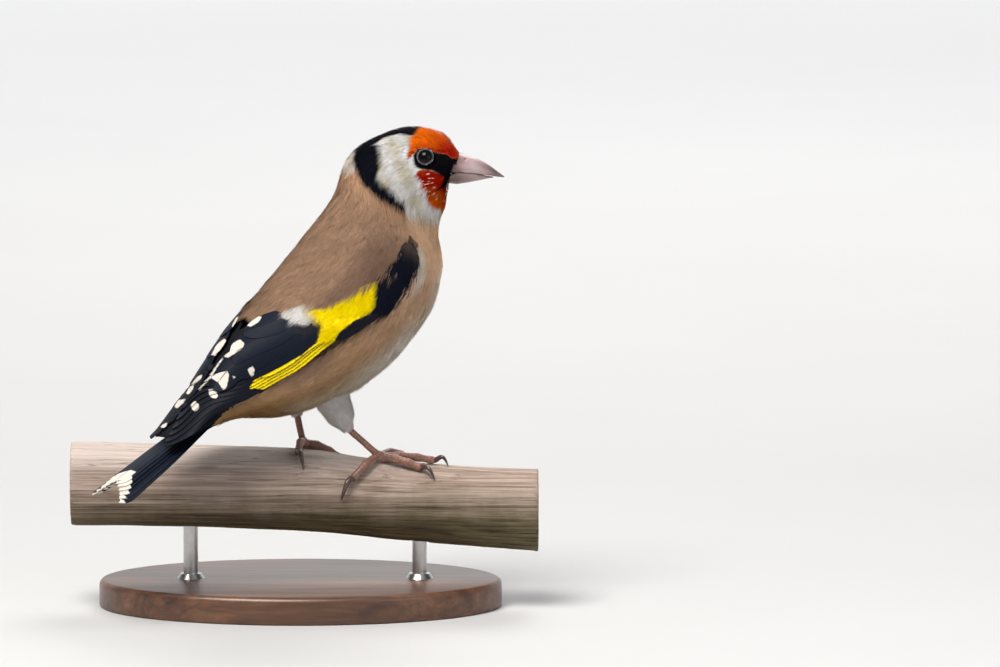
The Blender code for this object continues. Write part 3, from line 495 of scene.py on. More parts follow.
def array_mesh(name, vertices, faces, look, uv, uv_name="OFBake", normals=None):
    """A mesh object from arrays of vertices in millimetres and faces of equal corner count."""
    mesh = bpy.data.meshes.new(name)
    corners = faces.shape[1]
    mesh.vertices.add(len(vertices))
    mesh.vertices.foreach_set("co", (vertices * MM).ravel())
    mesh.loops.add(faces.size)
    mesh.loops.foreach_set("vertex_index", faces.ravel())
    mesh.polygons.add(len(faces))
    mesh.polygons.foreach_set("loop_start", np.arange(len(faces)) * corners)
    mesh.update(calc_edges=True)
    mesh.shade_smooth()
    layer = mesh.uv_layers.new(name=uv_name)
    layer.data.foreach_set("uv", uv[faces.ravel()].ravel())
    if normals is not None:
        mesh.normals_split_custom_set_from_vertices(normals.tolist())
    return mesh_object(name, mesh, look)


# Materials


class Graph:
    """Adds nodes to a node tree in a few words."""

    def __init__(self, tree):
        self.tree = tree

    def join(self, output, socket):
        """Links an output to a socket."""
        self.tree.links.new(output, socket)

    def fill(self, socket, value):
        """Links a socket to an output, or sets it to a value."""
        if isinstance(value, bpy.types.NodeSocket):
            self.join(value, socket)
        elif socket.type == "RGBA":
            socket.default_value = (*value, 1.0)
        else:
            socket.default_value = value

    def add(self, kind, inputs=None, **settings):
        """A node with its settings and inputs."""
        made = self.tree.nodes.new(kind)
        for key, value in settings.items():
            setattr(made, key, value)
        for key, value in (inputs or {}).items():
            self.fill(made.inputs[key], value)
        return made

    def math(self, operation, first, second=0.0, third=0.0):
        """The outcome of a sum."""
        inputs = {0: first, 1: second, 2: third}
        return self.add("ShaderNodeMath", inputs, operation=operation).outputs[0]

    def remap(self, value, low, high, start=0.0, end=1.0):
        """Start where the value is low, end where it is high, and held beyond them."""
        inputs = {"Value": value, "From Min": low, "From Max": high, "To Min": start, "To Max": end}
        return self.add("ShaderNodeMapRange", inputs).outputs[0]

    def ramp(self, factor, stops):
        """A colour that runs through the stops."""
        made = self.add("ShaderNodeValToRGB", {"Fac": factor})
        ramp = made.color_ramp
        while len(ramp.elements) < len(stops):
            ramp.elements.new(0.5)
        for element, (position, colour) in zip(ramp.elements, stops):
            element.position = position
            element.color = (*colour, 1.0)
        return made.outputs["Color"]

    def mix(self, factor, first, second, blend_type="MIX"):
        """Two colours mixed by a factor."""
        made = self.add("ShaderNodeMix", data_type="RGBA", blend_type=blend_type)
        for index, value in ((0, factor), (6, first), (7, second)):
            self.fill(made.inputs[index], value)
        return made.outputs[2]


def group_with(name, inputs, outputs):
    """An empty node group with named sockets, and its input and output nodes."""
    tree = bpy.data.node_groups.new(name, "ShaderNodeTree")
    for socket_name, kind, value in inputs:
        made = tree.interface.new_socket(name=socket_name, in_out="INPUT", socket_type=kind)
        if value is not None:
            made.default_value = value
    for socket_name, kind in outputs:
        tree.interface.new_socket(name=socket_name, in_out="OUTPUT", socket_type=kind)
    graph = Graph(tree)
    return graph, graph.add("NodeGroupInput"), graph.add("NodeGroupOutput")


def make_mottle_group():
    """Soft blotches and fine specks: a value about one half, and a height."""
    graph, inner, outer = group_with(
        "mottle",
        (("Vector", "NodeSocketVector", None), ("Scale", "NodeSocketFloat", 100.0)),
        (("Value", "NodeSocketFloat"), ("Height", "NodeSocketFloat")),
    )
    broad = graph.add("ShaderNodeTexNoise", {
        "Vector": inner.outputs["Vector"], "Scale": inner.outputs["Scale"], "Detail": 5.0, "Roughness": 0.6,
    })
    fine_scale = graph.math("MULTIPLY", inner.outputs["Scale"], 6.0)
    fine = graph.add("ShaderNodeTexNoise", {
        "Vector": inner.outputs["Vector"], "Scale": fine_scale, "Detail": 3.0,
    })
    graph.join(broad.outputs["Fac"], outer.inputs["Value"])
    graph.join(fine.outputs["Fac"], outer.inputs["Height"])
    return graph.tree


def make_fibre_group():
    """Long fibres along X: a value about one half, thin dark cracks, and a height."""
    graph, inner, outer = group_with(
        "fibre",
        (
            ("Vector", "NodeSocketVector", None),
            ("Scale", "NodeSocketFloat", 300.0),
            ("Stretch", "NodeSocketFloat", 0.06),
        ),
        (("Value", "NodeSocketFloat"), ("Crack", "NodeSocketFloat"), ("Height", "NodeSocketFloat")),
    )
    parts = graph.add("ShaderNodeSeparateXYZ", {"Vector": inner.outputs["Vector"]})
    shorter = graph.math("MULTIPLY", parts.outputs["X"], inner.outputs["Stretch"])
    vector = graph.add("ShaderNodeCombineXYZ", {
        "X": shorter, "Y": parts.outputs["Y"], "Z": parts.outputs["Z"],
    }).outputs[0]
    fibres = graph.add("ShaderNodeTexNoise", {
        "Vector": vector, "Scale": inner.outputs["Scale"], "Detail": 6.0, "Roughness": 0.65,
        "Distortion": 0.4,
    })
    coarse = graph.math("MULTIPLY", inner.outputs["Scale"], 0.45)
    cracks = graph.add("ShaderNodeTexNoise", {
        "Vector": vector, "Scale": coarse, "Detail": 3.0, "Roughness": 0.55, "Distortion": 0.8,
    })
    distance = graph.math("ABSOLUTE", graph.math("SUBTRACT", cracks.outputs["Fac"], 0.5))
    crack = graph.remap(distance, 0.0, 0.016, 1.0, 0.0)
    height = graph.math("MULTIPLY_ADD", crack, -0.7, fibres.outputs["Fac"])
    graph.join(fibres.outputs["Fac"], outer.inputs["Value"])
    graph.join(crack, outer.inputs["Crack"])
    graph.join(height, outer.inputs["Height"])
    return graph.tree


MOTTLE = make_mottle_group()
FIBRE = make_fibre_group()


def new_look(name, **sockets):
    """A material with its Principled shader's constant sockets set, and its graph."""
    look = bpy.data.materials.new(name)
    look.use_nodes = True
    shader = look.node_tree.nodes["Principled BSDF"]
    for key, value in sockets.items():
        shader.inputs[key.replace("_", " ")].default_value = value
    return look, Graph(look.node_tree), shader


def grouped(graph, tree, inputs):
    """The outputs of a group placed with its inputs."""
    return graph.add("ShaderNodeGroup", inputs, node_tree=tree).outputs


def bumped(graph, shader, height, distance, strength=1.0):
    """Sends a height to the shader's normal."""
    bump = graph.add("ShaderNodeBump", {"Height": height, "Distance": distance * MM, "Strength": strength})
    graph.join(bump.outputs["Normal"], shader.inputs["Normal"])


def object_vector(graph):
    """Coordinates of the object, in metres."""
    return graph.add("ShaderNodeTexCoord").outputs["Object"]


def mottled_look(name, scale, dark, pale, **sockets):
    """A material mottled between two colours, with its graph, its shader and its mottling."""
    look, graph, shader = new_look(name, **sockets)
    mottle = grouped(graph, MOTTLE, {"Vector": object_vector(graph), "Scale": scale})
    graph.join(graph.ramp(mottle["Value"], (dark, pale)), shader.inputs["Base Color"])
    return look, graph, shader, mottle


def tinted_look(name, scale, contrast, **sockets):
    """A material that shows the attribute tint, varied by fine mottling."""
    look, graph, shader = new_look(name, **sockets)
    tint = graph.add("ShaderNodeAttribute", attribute_name="tint").outputs["Color"]
    mottle = grouped(graph, MOTTLE, {"Vector": object_vector(graph), "Scale": scale})
    shade = graph.ramp(mottle["Value"], ((0.3, (1 - contrast,) * 3), (0.7, (1 + contrast * 0.4,) * 3)))
    graph.join(graph.mix(1.0, tint, shade, "MULTIPLY"), shader.inputs["Base Color"])
    bumped(graph, shader, mottle["Height"], 0.02, 0.5)
    return look


# Coat


def scattered(rows, place_range, spacing, allowed, seed):
    """Evenly spread random roots on the form; spacing and allowed are functions of place and angle."""
    rng = np.random.default_rng(seed)
    step_place, step_angle = 0.25, 4.0
    places, angles = np.meshgrid(
        np.arange(place_range[0], place_range[1], step_place) + step_place / 2,
        np.arange(-180, 180, step_angle) + step_angle / 2,
    )
    places, angles = places.ravel(), angles.ravel()
    _, by_place, by_angle, _ = frames(rows, places, angles)
    area = np.linalg.norm(np.cross(by_place, by_angle), axis=1) * step_place * step_angle
    wanted = area / spacing(places, angles) ** 2 * 3.0
    counts = np.floor(wanted + rng.random(len(wanted))).astype(int)
    cell = np.repeat(np.arange(len(places)), counts)
    places = places[cell] + (rng.random(len(cell)) - 0.5) * step_place
    angles = angles[cell] + (rng.random(len(cell)) - 0.5) * step_angle
    keep = allowed(places, angles)
    places, angles = places[keep], angles[keep]
    order = rng.permutation(len(places))
    places, angles = places[order], angles[order]
    points = form(rows, places, angles)
    reach = spacing(places, angles)
    size = float(reach.max())
    around = list(itertools.product((-1, 0, 1), repeat=3))
    cells = {}
    taken = []
    for i, ((x, y, z), distance) in enumerate(zip(points.tolist(), reach.tolist())):
        column, row, layer = int(x // size), int(y // size), int(z // size)
        others = (
            other for dx, dy, dz in around
            for other in cells.get((column + dx, row + dy, layer + dz), ())
        )
        least = distance * distance
        if all((ox - x) ** 2 + (oy - y) ** 2 + (oz - z) ** 2 >= least for ox, oy, oz in others):
            cells.setdefault((column, row, layer), []).append((x, y, z))
            taken.append(i)
    taken.sort(key=lambda i: (places[i], angles[i]))
    return places[taken], angles[taken]


def solve_steps(by_place, by_angle, vectors):
    """Moves in place and angle that give the vectors on the form."""
    pp = (by_place * by_place).sum(1)
    pa = (by_place * by_angle).sum(1)
    aa = (by_angle * by_angle).sum(1)
    cp = (vectors * by_place).sum(1)
    ca = (vectors * by_angle).sum(1)
    determinant = np.maximum(pp * aa - pa * pa, 1e-9)
    return (cp * aa - ca * pa) / determinant, (ca * pp - cp * pa) / determinant


# Stages of a blade: share of its length, share of the fan's width, and the sides it has there
BLADE_STAGES = ((0.0, 0.3, (-1, 1)), (0.5, 0.8, (-1, 1)), (1.0, 1.0, (0,)))
# Darker toward a blade's root: partly the grey bases of the feathers, partly painted shade in the gaps between
# tufts
ROOT_SHADES = {0.0: 0.5, 0.5: 0.9, 1.0: 1.0}


def blade_triangles(count):
    """Three triangles for each blade: a four-cornered foot and a point."""
    left0, right0, left1, right1, tip = (np.arange(count) + count * i for i in range(5))
    return np.concatenate((
        np.stack((right0, left0, left1), axis=1),
        np.stack((right0, left1, right1), axis=1),
        np.stack((right1, left1, tip), axis=1),
    ))


def coat(name, look, slot_name, rows, places, angles, paint, size, blades, seed):
    """Tufts of narrow blades at the roots.

    size(places, angles) gives length, width, root lift, tip lift, turn of the lie in degrees,
    blade width and roughness for each tuft, and paint(places, angles) its colours.
    """
    rng = np.random.default_rng(seed)
    count = len(places)
    length, width, root_lift, tip_lift, lie, blade_width, rough = size(places, angles)
    tuft = np.repeat(np.arange(count), blades)
    spread = np.tile(np.linspace(-1, 1, blades), count) + rng.normal(0, 0.12, count * blades)
    points, by_place, by_angle, normal = frames(rows, places, angles)
    along = by_place / np.maximum(np.linalg.norm(by_place, axis=1), 1e-9)[:, None]
    along -= normal * (along * normal).sum(1)[:, None]
    along /= np.linalg.norm(along, axis=1)[:, None]
    sideways = np.cross(normal, along)
    turn = np.radians(lie + rng.normal(0, 6, count))[:, None]
    forward = along * np.cos(turn) + sideways * np.sin(turn)
    across = sideways * np.cos(turn) - along * np.sin(turn)
    long = length * rng.uniform(0.85, 1.15, count)
    long = long[tuft] * (1 - 0.35 * np.clip(np.abs(spread), 0, 1) ** 2) * rng.uniform(0.82, 1.1, len(tuft))
    wide = width[tuft] / 2
    lift_jitter = (rng.normal(0, 0.5, len(tuft)) + rng.normal(0, 0.7, count)[tuft]) * rough[tuft]
    fray = rng.normal(0, 1.0, len(tuft)) * rough[tuft] * 5
    # Feathers of the face differ more from one another than those of the body, partly as painted shade between
    # clumps of feathers
    contrast = (1 + 0.9 * (1 - smooth(places, 5.0, 9.0)))[tuft]
    shade = 1 + contrast * (rng.normal(0, 0.045, count)[tuft] + rng.normal(0, 0.085, len(tuft)))
    tip_shade = 1 + rng.normal(0.03, 0.06, len(tuft))
    roll = rng.normal(0, 0.18, len(tuft))[:, None]
    up = normal[tuft]
    bake_u = 0.04 + 0.92 * (angles + 180) / 360
    bake_v = 0.04 + 0.84 * places / 22
    out_vertices, out_colours, out_uv, out_normals = [], [], [], []
    for s, fan, ends in BLADE_STAGES:
        reach = long * s
        vectors = forward[tuft] * reach[:, None] + across[tuft] * (wide * spread * fan)[:, None]
        step_place, step_angle = solve_steps(by_place[tuft], by_angle[tuft], vectors)
        at_place = np.clip(places[tuft] + step_place, rows[0][0], rows[-1][0])
        at_angle = angles[tuft] + step_angle
        lifts = root_lift[tuft] + (tip_lift - root_lift)[tuft] * s**0.8 + lift_jitter * s
        centre = form(rows, at_place, at_angle, lifts)
        # Each blade keeps the colour of a spot a little before or behind it, so that edges fray
        frayed = np.clip(at_place + step_place * 0.2 * fray, rows[0][0], rows[-1][0])
        colours = paint(frayed, at_angle) * (shade * ROOT_SHADES[s])[:, None]
        if s == 1.0:
            colours *= tip_shade[:, None]
        side_vector = across[tuft] + up * roll
        uv = np.stack((bake_u[tuft] + spread * 0.0012, bake_v[tuft] + (s - 0.5) * 0.0024), axis=1)
        for sign in ends:
            out_vertices.append(centre + side_vector * (sign * blade_width[tuft] / 2)[:, None])
            out_colours.append(colours)
            out_uv.append(uv)
            out_normals.append(up)
    made = array_mesh(
        name, np.concatenate(out_vertices), blade_triangles(len(tuft)), look,
        uv=np.concatenate(out_uv), normals=np.concatenate(out_normals),
    )
    set_tint(made.data, np.concatenate(out_colours))
    link(made, slot_name)


def wing_angles(places):
    """Upper and lower angle of the wing's outline at the places."""
    keys = [row[0] for row in WING_EDGES]
    upper = np.interp(places, keys, [row[1] for row in WING_EDGES])
    lower = np.interp(places, keys, [row[2] for row in WING_EDGES])
    return upper, lower


def on_wing(places, angles, over_top=0.0, over_bottom=0.0):
    """Where the folded wing shows, with how far the body feathers reach over its edges."""
    upper, lower = wing_angles(places)
    a = np.abs(angles)
    inside_outline = (a > upper + over_top) & (a < lower - over_bottom)
    return inside_outline & (places > 10.0) & (places < 23.6)


# Pixel across, left of which no feathers of the vent reach
VENT_END = 217.0


def feather_room(places, angles):
    """Where a body feather may be rooted, so that its tip doesn't lie over the wing."""
    ragged = wavy((places * 9.0, np.abs(angles) * 0.9), 1.0, 71) + 1.2 * (speckle(places, angles) - 0.5)
    over_top = 1.5 + 1.4 * ragged
    behind_mantle = smooth(places, 13.0, 13.7) * (1 - smooth(places, 14.6, 14.9))
    over_top += np.where(angles > 0, 16.0, 8.5) * behind_mantle
    # Behind the mantle the wings meet over the back
    over_top = np.where(places > 14.75, -9.0, over_top)
    over_bottom = 1.5 * ragged + 1.5 - 6.0 * smooth(places, 11.6, 12.8)
    length = feather_size(places, angles)[0]
    by_place = np.linalg.norm(frames(RUMP_STATIONS, places, angles)[1], axis=1)
    ahead = places + 0.8 * length / np.maximum(by_place, 0.5)
    blocked = on_wing(places, angles, over_top, over_bottom)
    blocked |= on_wing(ahead, angles, np.where(ahead > 14.9, -9.0, over_top), over_bottom)
    blocked |= on_wing((places + ahead) / 2, angles, over_top, over_bottom)
    # Below the tail's root the black feathers begin
    blocked |= profile(RUMP_STATIONS, ahead, angles)[0] < VENT_END
    return ~blocked & ~bare_face(places, angles)


def speckle(places, angles):
    """A random value from 0 to 1 for each spot."""
    return np.modf(np.abs(np.sin(places * 127.1 + angles * 31.17) * 4375.85))[0]


def from_eye(places, angles):
    """Distance of spots of the form from the middle of the eye on their side."""
    return np.linalg.norm(form(RUMP_STATIONS, places, -np.abs(angles)) - eye_spot()[0], axis=1)


def bare_face(places, angles):
    """Where the eye and the bill leave no room for feathers."""
    a = np.abs(angles)
    behind_bill = (places < 0.75) & (a > 66) & (a < 168)
    return (from_eye(places, angles) < EYE_CLEARANCE) | behind_bill


def root_spacing(places, angles):
    """Distance between feather roots: smallest on the face."""
    return 0.4 + 0.32 * smooth(places, 2.5, 9.5)


def feather_size(places, angles):
    """Length, width, lifts, lie, blade width and roughness of the body feathers."""
    a = np.abs(angles)
    growth = smooth(places, 0.5, 11.0)
    length = 1.2 + 3.6 * growth
    near_eye = from_eye(places, angles)
    length *= 0.5 + 0.5 * smooth(near_eye, 2.0, 5.5)
    width = 0.5 + 1.4 * growth
    upper, lower = wing_angles(places)
    scapular = smooth(a, upper - 24, upper - 6) * smooth(places, 10.0, 11.0)
    scapular *= 1 - smooth(places, 14.9, 15.3)
    length += 1.2 * scapular
    root_lift = -(0.45 + 0.4 * growth)
    tip_lift = 0.08 + 0.1 * growth + 0.55 * scapular
    # Fuller on the forehead and the chin; close to the body below the wing's edge
    fuller = (1 - smooth(places, 1.5, 5.0)) * smooth(places, 0.2, 1.2)
    tip_lift += 0.7 * fuller * (1 - smooth(a, 25, 60)) + 0.9 * fuller * smooth(a, 115, 150)
    under_wing = smooth(a, lower - 12, lower - 2) * (1 - smooth(a, lower + 4, lower + 14))
    tip_lift -= 0.4 * under_wing * smooth(places, 12.4, 13.4)
    tip_lift -= 0.35 * (1 - smooth(near_eye, 2.2, 3.6))
    # Flat under the tail's root
    tip_lift -= 0.5 * smooth(places, 18.6, 19.6)
    length -= 1.6 * smooth(places, 18.6, 20.0)
    lie = 14 * np.sign(angles) * smooth(places, 4.0, 6.5) * (1 - smooth(places, 7.5, 9.5)) * smooth(a, 40, 70)
    edge = smooth(a, lower + 1, lower + 4) * (1 - smooth(a, lower + 8, lower + 16))
    edge *= smooth(places, 9.8, 10.3) * (1 - smooth(places, 11.8, 12.6))
    lie = lie + 15 * np.sign(angles) * edge
    blade_width = 0.075 + 0.055 * growth
    rough = 0.02 + 0.06 * growth + 0.06 * edge
    rough += 0.12 * smooth(a, 140, 165) * smooth(places, 12.5, 14.0) * (1 - smooth(places, 17.0, 18.5))
    return length, width, root_lift, tip_lift, lie, blade_width, rough


def make_coat(look):
    """All body feathers, in pieces along the body."""
    regions = (
        ("coat_forehead_and_chin", "plumage_head", 0.05, 3.0, 16),
        ("coat_cheeks", "plumage_head", 3.0, 5.2, 16),
        ("coat_crown", "plumage_head", 5.2, 7.4, 16),
        ("coat_nape", "plumage_body", 7.4, 9.4, 18),
        ("coat_shoulders", "plumage_body", 9.4, 11.2, 20),
        ("coat_mantle", "plumage_body", 11.2, 13.0, 20),
        ("coat_flanks", "plumage_body", 13.0, 15.2, 20),
        ("coat_belly", "plumage_pale", 15.2, 18.0, 20),
        ("coat_vent", "plumage_pale", 18.0, 20.6, 20),
    )
    for number, (name, slot_name, start, end, blades) in enumerate(regions):
        places, angles = scattered(RUMP_STATIONS, (start, end), root_spacing, feather_room, SEED + number)
        coat(
            name, look, slot_name, RUMP_STATIONS, places, angles, plumage, feather_size, blades,
            SEED + 50 + number,
        )
    make_bristles(look)


BRISTLE_COUNT = 420
SHAFT_COUNT = 44


def make_bristles(look):
    """Forward-lying bristles over the base of the bill, and pale shafts on the red cheek."""
    rng = np.random.default_rng(SEED + 70)
    angles = rng.uniform(-150, 150, BRISTLE_COUNT)
    places = rng.uniform(0.75, 1.15, BRISTLE_COUNT) + 0.4 * smooth(np.abs(angles), 60, 85)

    def bristle_size(places, angles):
        return [np.full(len(places), value) for value in (0.9, 0.35, -0.5, 0.0, 180, 0.06, 0.03)]

    coat(
        "coat_bristles", look, "plumage_head", RUMP_STATIONS, places, angles, plumage, bristle_size, 8,
        SEED + 71,
    )
    places = rng.uniform(3.0, 4.4, SHAFT_COUNT)
    angles = rng.uniform(88, 126, SHAFT_COUNT) * np.where(np.arange(SHAFT_COUNT) % 2, 1, -1)

    def shaft_size(places, angles):
        lie = 25 * np.sign(angles)
        sizes = [np.full(len(places), value) for value in (1.3, 0.1, 0.02, 0.4, 0.09, 0.02)]
        return *sizes[:4], lie, *sizes[4:]

    def shaft_paint(places, angles):
        return np.tile(SHAFT_PINK, (len(places), 1))

    coat(
        "coat_pale_shafts", look, "plumage_head", RUMP_STATIONS, places, angles, shaft_paint, shaft_size,
        2, SEED + 72,
    )


# Depth of the skin inside the solids, and the voxel size of its mesh
SKIN_DEPTH = 0.5
SKIN_VOXEL = 0.4


def make_skin(look):
    """One skin for head, neck, torso and thighs, inside the coat."""
    cone = bmesh.new()
    previous = None
    turns = np.linspace(0, 352.5, 48)
    for place in np.linspace(18.6, 22.0, 14):
        previous = ring_through(cone, form(RUMP_STATIONS, place, turns, -0.1), previous)
    bmesh.ops.holes_fill(cone, edges=cone.edges)
    bmesh.ops.recalc_face_normals(cone, faces=cone.faces)
    rump = bmesh_object("rump_cone", cone)
    skin = joined_copy("skin", ("head", "neck", "torso", "thigh_left", "thigh_right"), (rump,))
    refined(skin, SKIN_VOXEL, 3)
    co = vertex_array(skin.data) / MM
    places, angles = np.meshgrid(np.arange(0, 22.01, 0.2), np.arange(-180, 180, 4.0))
    places, angles = places.ravel(), angles.ravel()
    nearest = nearest_of(form(RUMP_STATIONS, places, angles, -0.6), co)
    places, angles = places[nearest], angles[nearest]
    # The skin lies a coat's depth inside the solids, and deeper beside the bill
    depth = SKIN_DEPTH * smooth(places, 0.3, 3.0)
    depth += 0.9 * (1 - smooth(places, 0.5, 1.8)) * smooth(np.abs(angles), 40, 80)
    co -= vertex_normals(skin.data) * depth[:, None]
    # It draws back round the eyes
    for side in (-1, 1):
        eye, _, _, outward = eye_spot(side)
        close = 1 - smooth(np.linalg.norm(co - eye, axis=1), 2.4, 3.4)
        co -= outward * (0.9 * close)[:, None]
    skin.data.vertices.foreach_set("co", (co * MM).ravel())
    colours = plumage(places, angles) * 0.75
    hidden = on_wing(places, angles, -9.0, 9.0) & (places > 14.0)
    hidden |= places > 20.0
    set_tint(skin.data, np.where(hidden[:, None], WING_BLACK, colours))
    skin.data.materials.append(look)
    link(skin, "plumage_body", "head", "neck", "torso", "thigh_left", "thigh_right")


# Wings and tail

# The wings meet off the middle of the back: where, and how wide the dark gap between them is
MEETING_ANGLES = (
    (13.0, 0.0), (15.0, 5.0), (17.0, 11.5), (18.3, 12.5), (19.6, 10.0), (20.5, 3.0), (22.0, -4.0),
    (24.0, -6.0),
)
MEETING_GAP = 1.1


def meeting_angle(places, side):
    """Least angle of a wing's feathers, so that those of the left wing lie over the middle of the back."""
    middle = curve(MEETING_ANGLES, places)[:, 0]
    return middle + MEETING_GAP if side < 0 else MEETING_GAP - middle


ARC_PLACES = np.arange(13.0, 23.8, 0.1)
ARC_ANGLES = np.arange(-20.0, 111.0, 1.0)


def arc_table():
    """Distances over the wing's form from the middle of the back, and those of its lower edge."""
    spots = form(WING_STATIONS, ARC_PLACES[:, None], ARC_ANGLES[None, :])
    spots = spots.reshape(len(ARC_PLACES), len(ARC_ANGLES), 3)
    steps = np.linalg.norm(np.diff(spots, axis=1), axis=2)
    arcs = np.concatenate((np.zeros((len(ARC_PLACES), 1)), np.cumsum(steps, axis=1)), axis=1)
    arcs -= arcs[:, [int(-ARC_ANGLES[0])]]
    _, lower = wing_angles(ARC_PLACES)
    edge = np.array([np.interp(angle, ARC_ANGLES, row) for angle, row in zip(lower, arcs)])
    padded = np.pad(edge, 4, mode="edge")
    return arcs, np.convolve(padded, np.ones(9) / 9, mode="valid")


ARCS, EDGE_ARCS = arc_table()


# How far a feather's root sinks under the mantle, and the thickness of a vane
ROOT_SINK = 0.6
VANE_THICKNESS = 0.1


def vane_grid(rows, path, width, lifts, crown, steps, columns, side, ribbon=None):
    """Vertices, faces and measures of one flight feather that lies on the form.

    path(s) gives (place, angle without sign) from root to tip, and ribbon(s, across) does so for
    each spot of the feather where it follows the wing's lower edge. Lifts are the heights of its
    upper and its lower edge. Measures are: share along, share across from -1 at the upper edge to
    1 at the lower, millimetres from the tip, place and angle.
    """
    s = np.linspace(0, 1, steps)
    u = np.linspace(-1, 1, columns)
    place, angle = path(s)
    points, by_place, by_angle, normal = frames(rows, place, angle * side)
    along = np.gradient(points, axis=0)
    along -= normal * (along * normal).sum(1)[:, None]
    lengths = np.linalg.norm(along, axis=1)
    along /= lengths[:, None]
    travelled = np.concatenate(([0], np.cumsum((lengths[1:] + lengths[:-1]) / 2)))
    left = travelled[-1] - travelled
    tip_round = np.sqrt(np.clip(1 - np.clip(1 - left / (width * 0.85), 0, 1) ** 2.2, 0.0004, 1))
    share = (0.55 + 0.45 * smooth(s, 0, 0.25)) * tip_round
    across = u[None, :] * width / 2 * share[:, None]
    least = meeting_angle(place, side)
    if ribbon:
        at_place, at_angle = ribbon(s, across)
    else:
        downward = np.cross(normal, along) * side
        down_place, down_angle = solve_steps(by_place, by_angle, downward)
        turned = np.sign((down_angle * side).mean())
        down_place, down_angle = down_place * turned, down_angle * turned * side
        upper, lower = wing_angles(place)
        first = np.where(upper > 0, np.maximum(upper, least), least) + width / 2 * down_angle
        last = np.maximum(lower - width / 2 * down_angle, first)
        angle = np.clip(angle, first, last)
        at_place = place[:, None] + down_place[:, None] * across
        at_angle = angle[:, None] + down_angle[:, None] * across
    at_angle = np.maximum(at_angle, least[:, None])
    sunk = ROOT_SINK * (1 - smooth(s, 0, 0.12))[:, None]
    tilt = lifts[0] + (lifts[1] - lifts[0]) * (u[None, :] + 1) / 2 - sunk
    camber = crown * (1 - u[None, :] ** 2) * share[:, None]
    at_place, at_angle = at_place.ravel(), (at_angle * side).ravel()
    layers = [
        form(rows, at_place, at_angle, (tilt + camber + face * VANE_THICKNESS / 2).ravel())
        for face in (1, -1)
    ]
    measures = np.stack((
        np.repeat(s, columns), np.tile(u, steps), np.repeat(left, columns), at_place, at_angle,
    ), axis=1)
    faces = slab_faces(steps, columns, side < 0)
    return np.concatenate(layers), faces, np.concatenate((measures, measures))


def slab_faces(steps, columns, turned):
    """Quads of a thin closed slab: a grid, the same grid below it, and the rim."""
    per = steps * columns
    index = np.arange(per).reshape(steps, columns)
    quads = np.stack((index[:-1, :-1], index[:-1, 1:], index[1:, 1:], index[1:, :-1]), axis=-1).reshape(-1, 4)
    rim = np.concatenate((index[0, :], index[1:, -1], index[-1, -2::-1], index[-2:0:-1, 0]))
    after = np.roll(rim, -1)
    sides = np.stack((rim, after, after + per, rim + per), axis=1)
    faces = np.concatenate((quads, quads[:, ::-1] + per, sides[:, ::-1]))
    return faces[:, ::-1] if turned else faces


def joined_vanes(name, look, slot_name, vanes, *nodes):
    """One mesh of many feathers; each vane is (vertices, faces, measures, colours, white, yellow)."""
    vertices, faces, uv, colours, white, gold = [], [], [], [], [], []
    start = 0
    for points, quads, measures, tint, white_mask, gold_mask in vanes:
        vertices.append(points)
        faces.append(quads + start)
        start += len(points)
        uv.append(np.stack((measures[:, 1], measures[:, 2]), axis=1))
        colours.append(tint)
        white.append(white_mask)
        gold.append(gold_mask)
    made = array_mesh(
        name, np.concatenate(vertices), np.concatenate(faces), look,
        uv=np.concatenate(uv), uv_name="vane",
    )
    made.data.set_sharp_from_angle(angle=math.radians(50))
    set_tint(made.data, np.concatenate(colours))
    for key, values in (("white_distance", white), ("gold_distance", gold)):
        layer = made.data.attributes.new(key, "FLOAT", "POINT")
        layer.data.foreach_set("value", np.concatenate(values))
    link(made, slot_name, *nodes)


def make_vane_look():
    """Flight feathers: barbs, a shaft, yellow panels and white tips from the attributes."""
    look, graph, shader = new_look(
        "flight_feather", Roughness=0.48, Specular_IOR_Level=0.13,
    )
    uv = graph.add("ShaderNodeUVMap", uv_map="vane").outputs["UV"]
    parts = graph.add("ShaderNodeSeparateXYZ", {"Vector": uv})
    u, left = parts.outputs["X"], parts.outputs["Y"]
    distance_out = graph.math("ABSOLUTE", u)
    # Barbs run from the shaft toward the tip on both webs
    barb = graph.math("MULTIPLY_ADD", distance_out, 1.1, left)
    barbs = graph.math("SINE", graph.math("MULTIPLY", barb, 48.0))
    jitter = graph.add("ShaderNodeTexNoise", {
        "Vector": object_vector(graph), "Scale": 2600.0, "Detail": 4.0, "Roughness": 0.6,
    }).outputs["Fac"]
    frayed = graph.math("SUBTRACT", jitter, 0.5)
    tint = graph.add("ShaderNodeAttribute", attribute_name="tint").outputs["Color"]
    shade = graph.math("MULTIPLY_ADD", barbs, 0.07, graph.math("MULTIPLY_ADD", frayed, 0.5, 1.0))
    grey = graph.add("ShaderNodeCombineColor", {0: shade, 1: shade, 2: shade}).outputs[0]
    colour = graph.mix(1.0, tint, grey, "MULTIPLY")
    for key, laid in (("gold_distance", BRIGHT_YELLOW), ("white_distance", TIP_CREAM)):
        reach = graph.add("ShaderNodeAttribute", attribute_name=key).outputs["Fac"]
        reach = graph.math("MULTIPLY_ADD", frayed, 0.4, reach)
        mask = graph.remap(reach, -0.08, 0.08)
        colour = graph.mix(mask, colour, graph.mix(1.0, laid, grey, "MULTIPLY"))
    shaft = graph.remap(distance_out, 0.02, 0.06, 0.75, 0.0)
    colour = graph.mix(shaft, colour, srgb(40, 34, 34))
    graph.join(colour, shader.inputs["Base Color"])
    height = graph.math("MULTIPLY_ADD", shaft, 2.5, barbs)
    bumped(graph, shader, height, 0.012, 0.6)
    return look


def marking(measures, outline):
    """Distance in millimetres into a marking's outline, at each vertex of a wing feather."""
    return inside(outline, *profile(WING_STATIONS, measures[:, 3], measures[:, 4])) * PIXEL


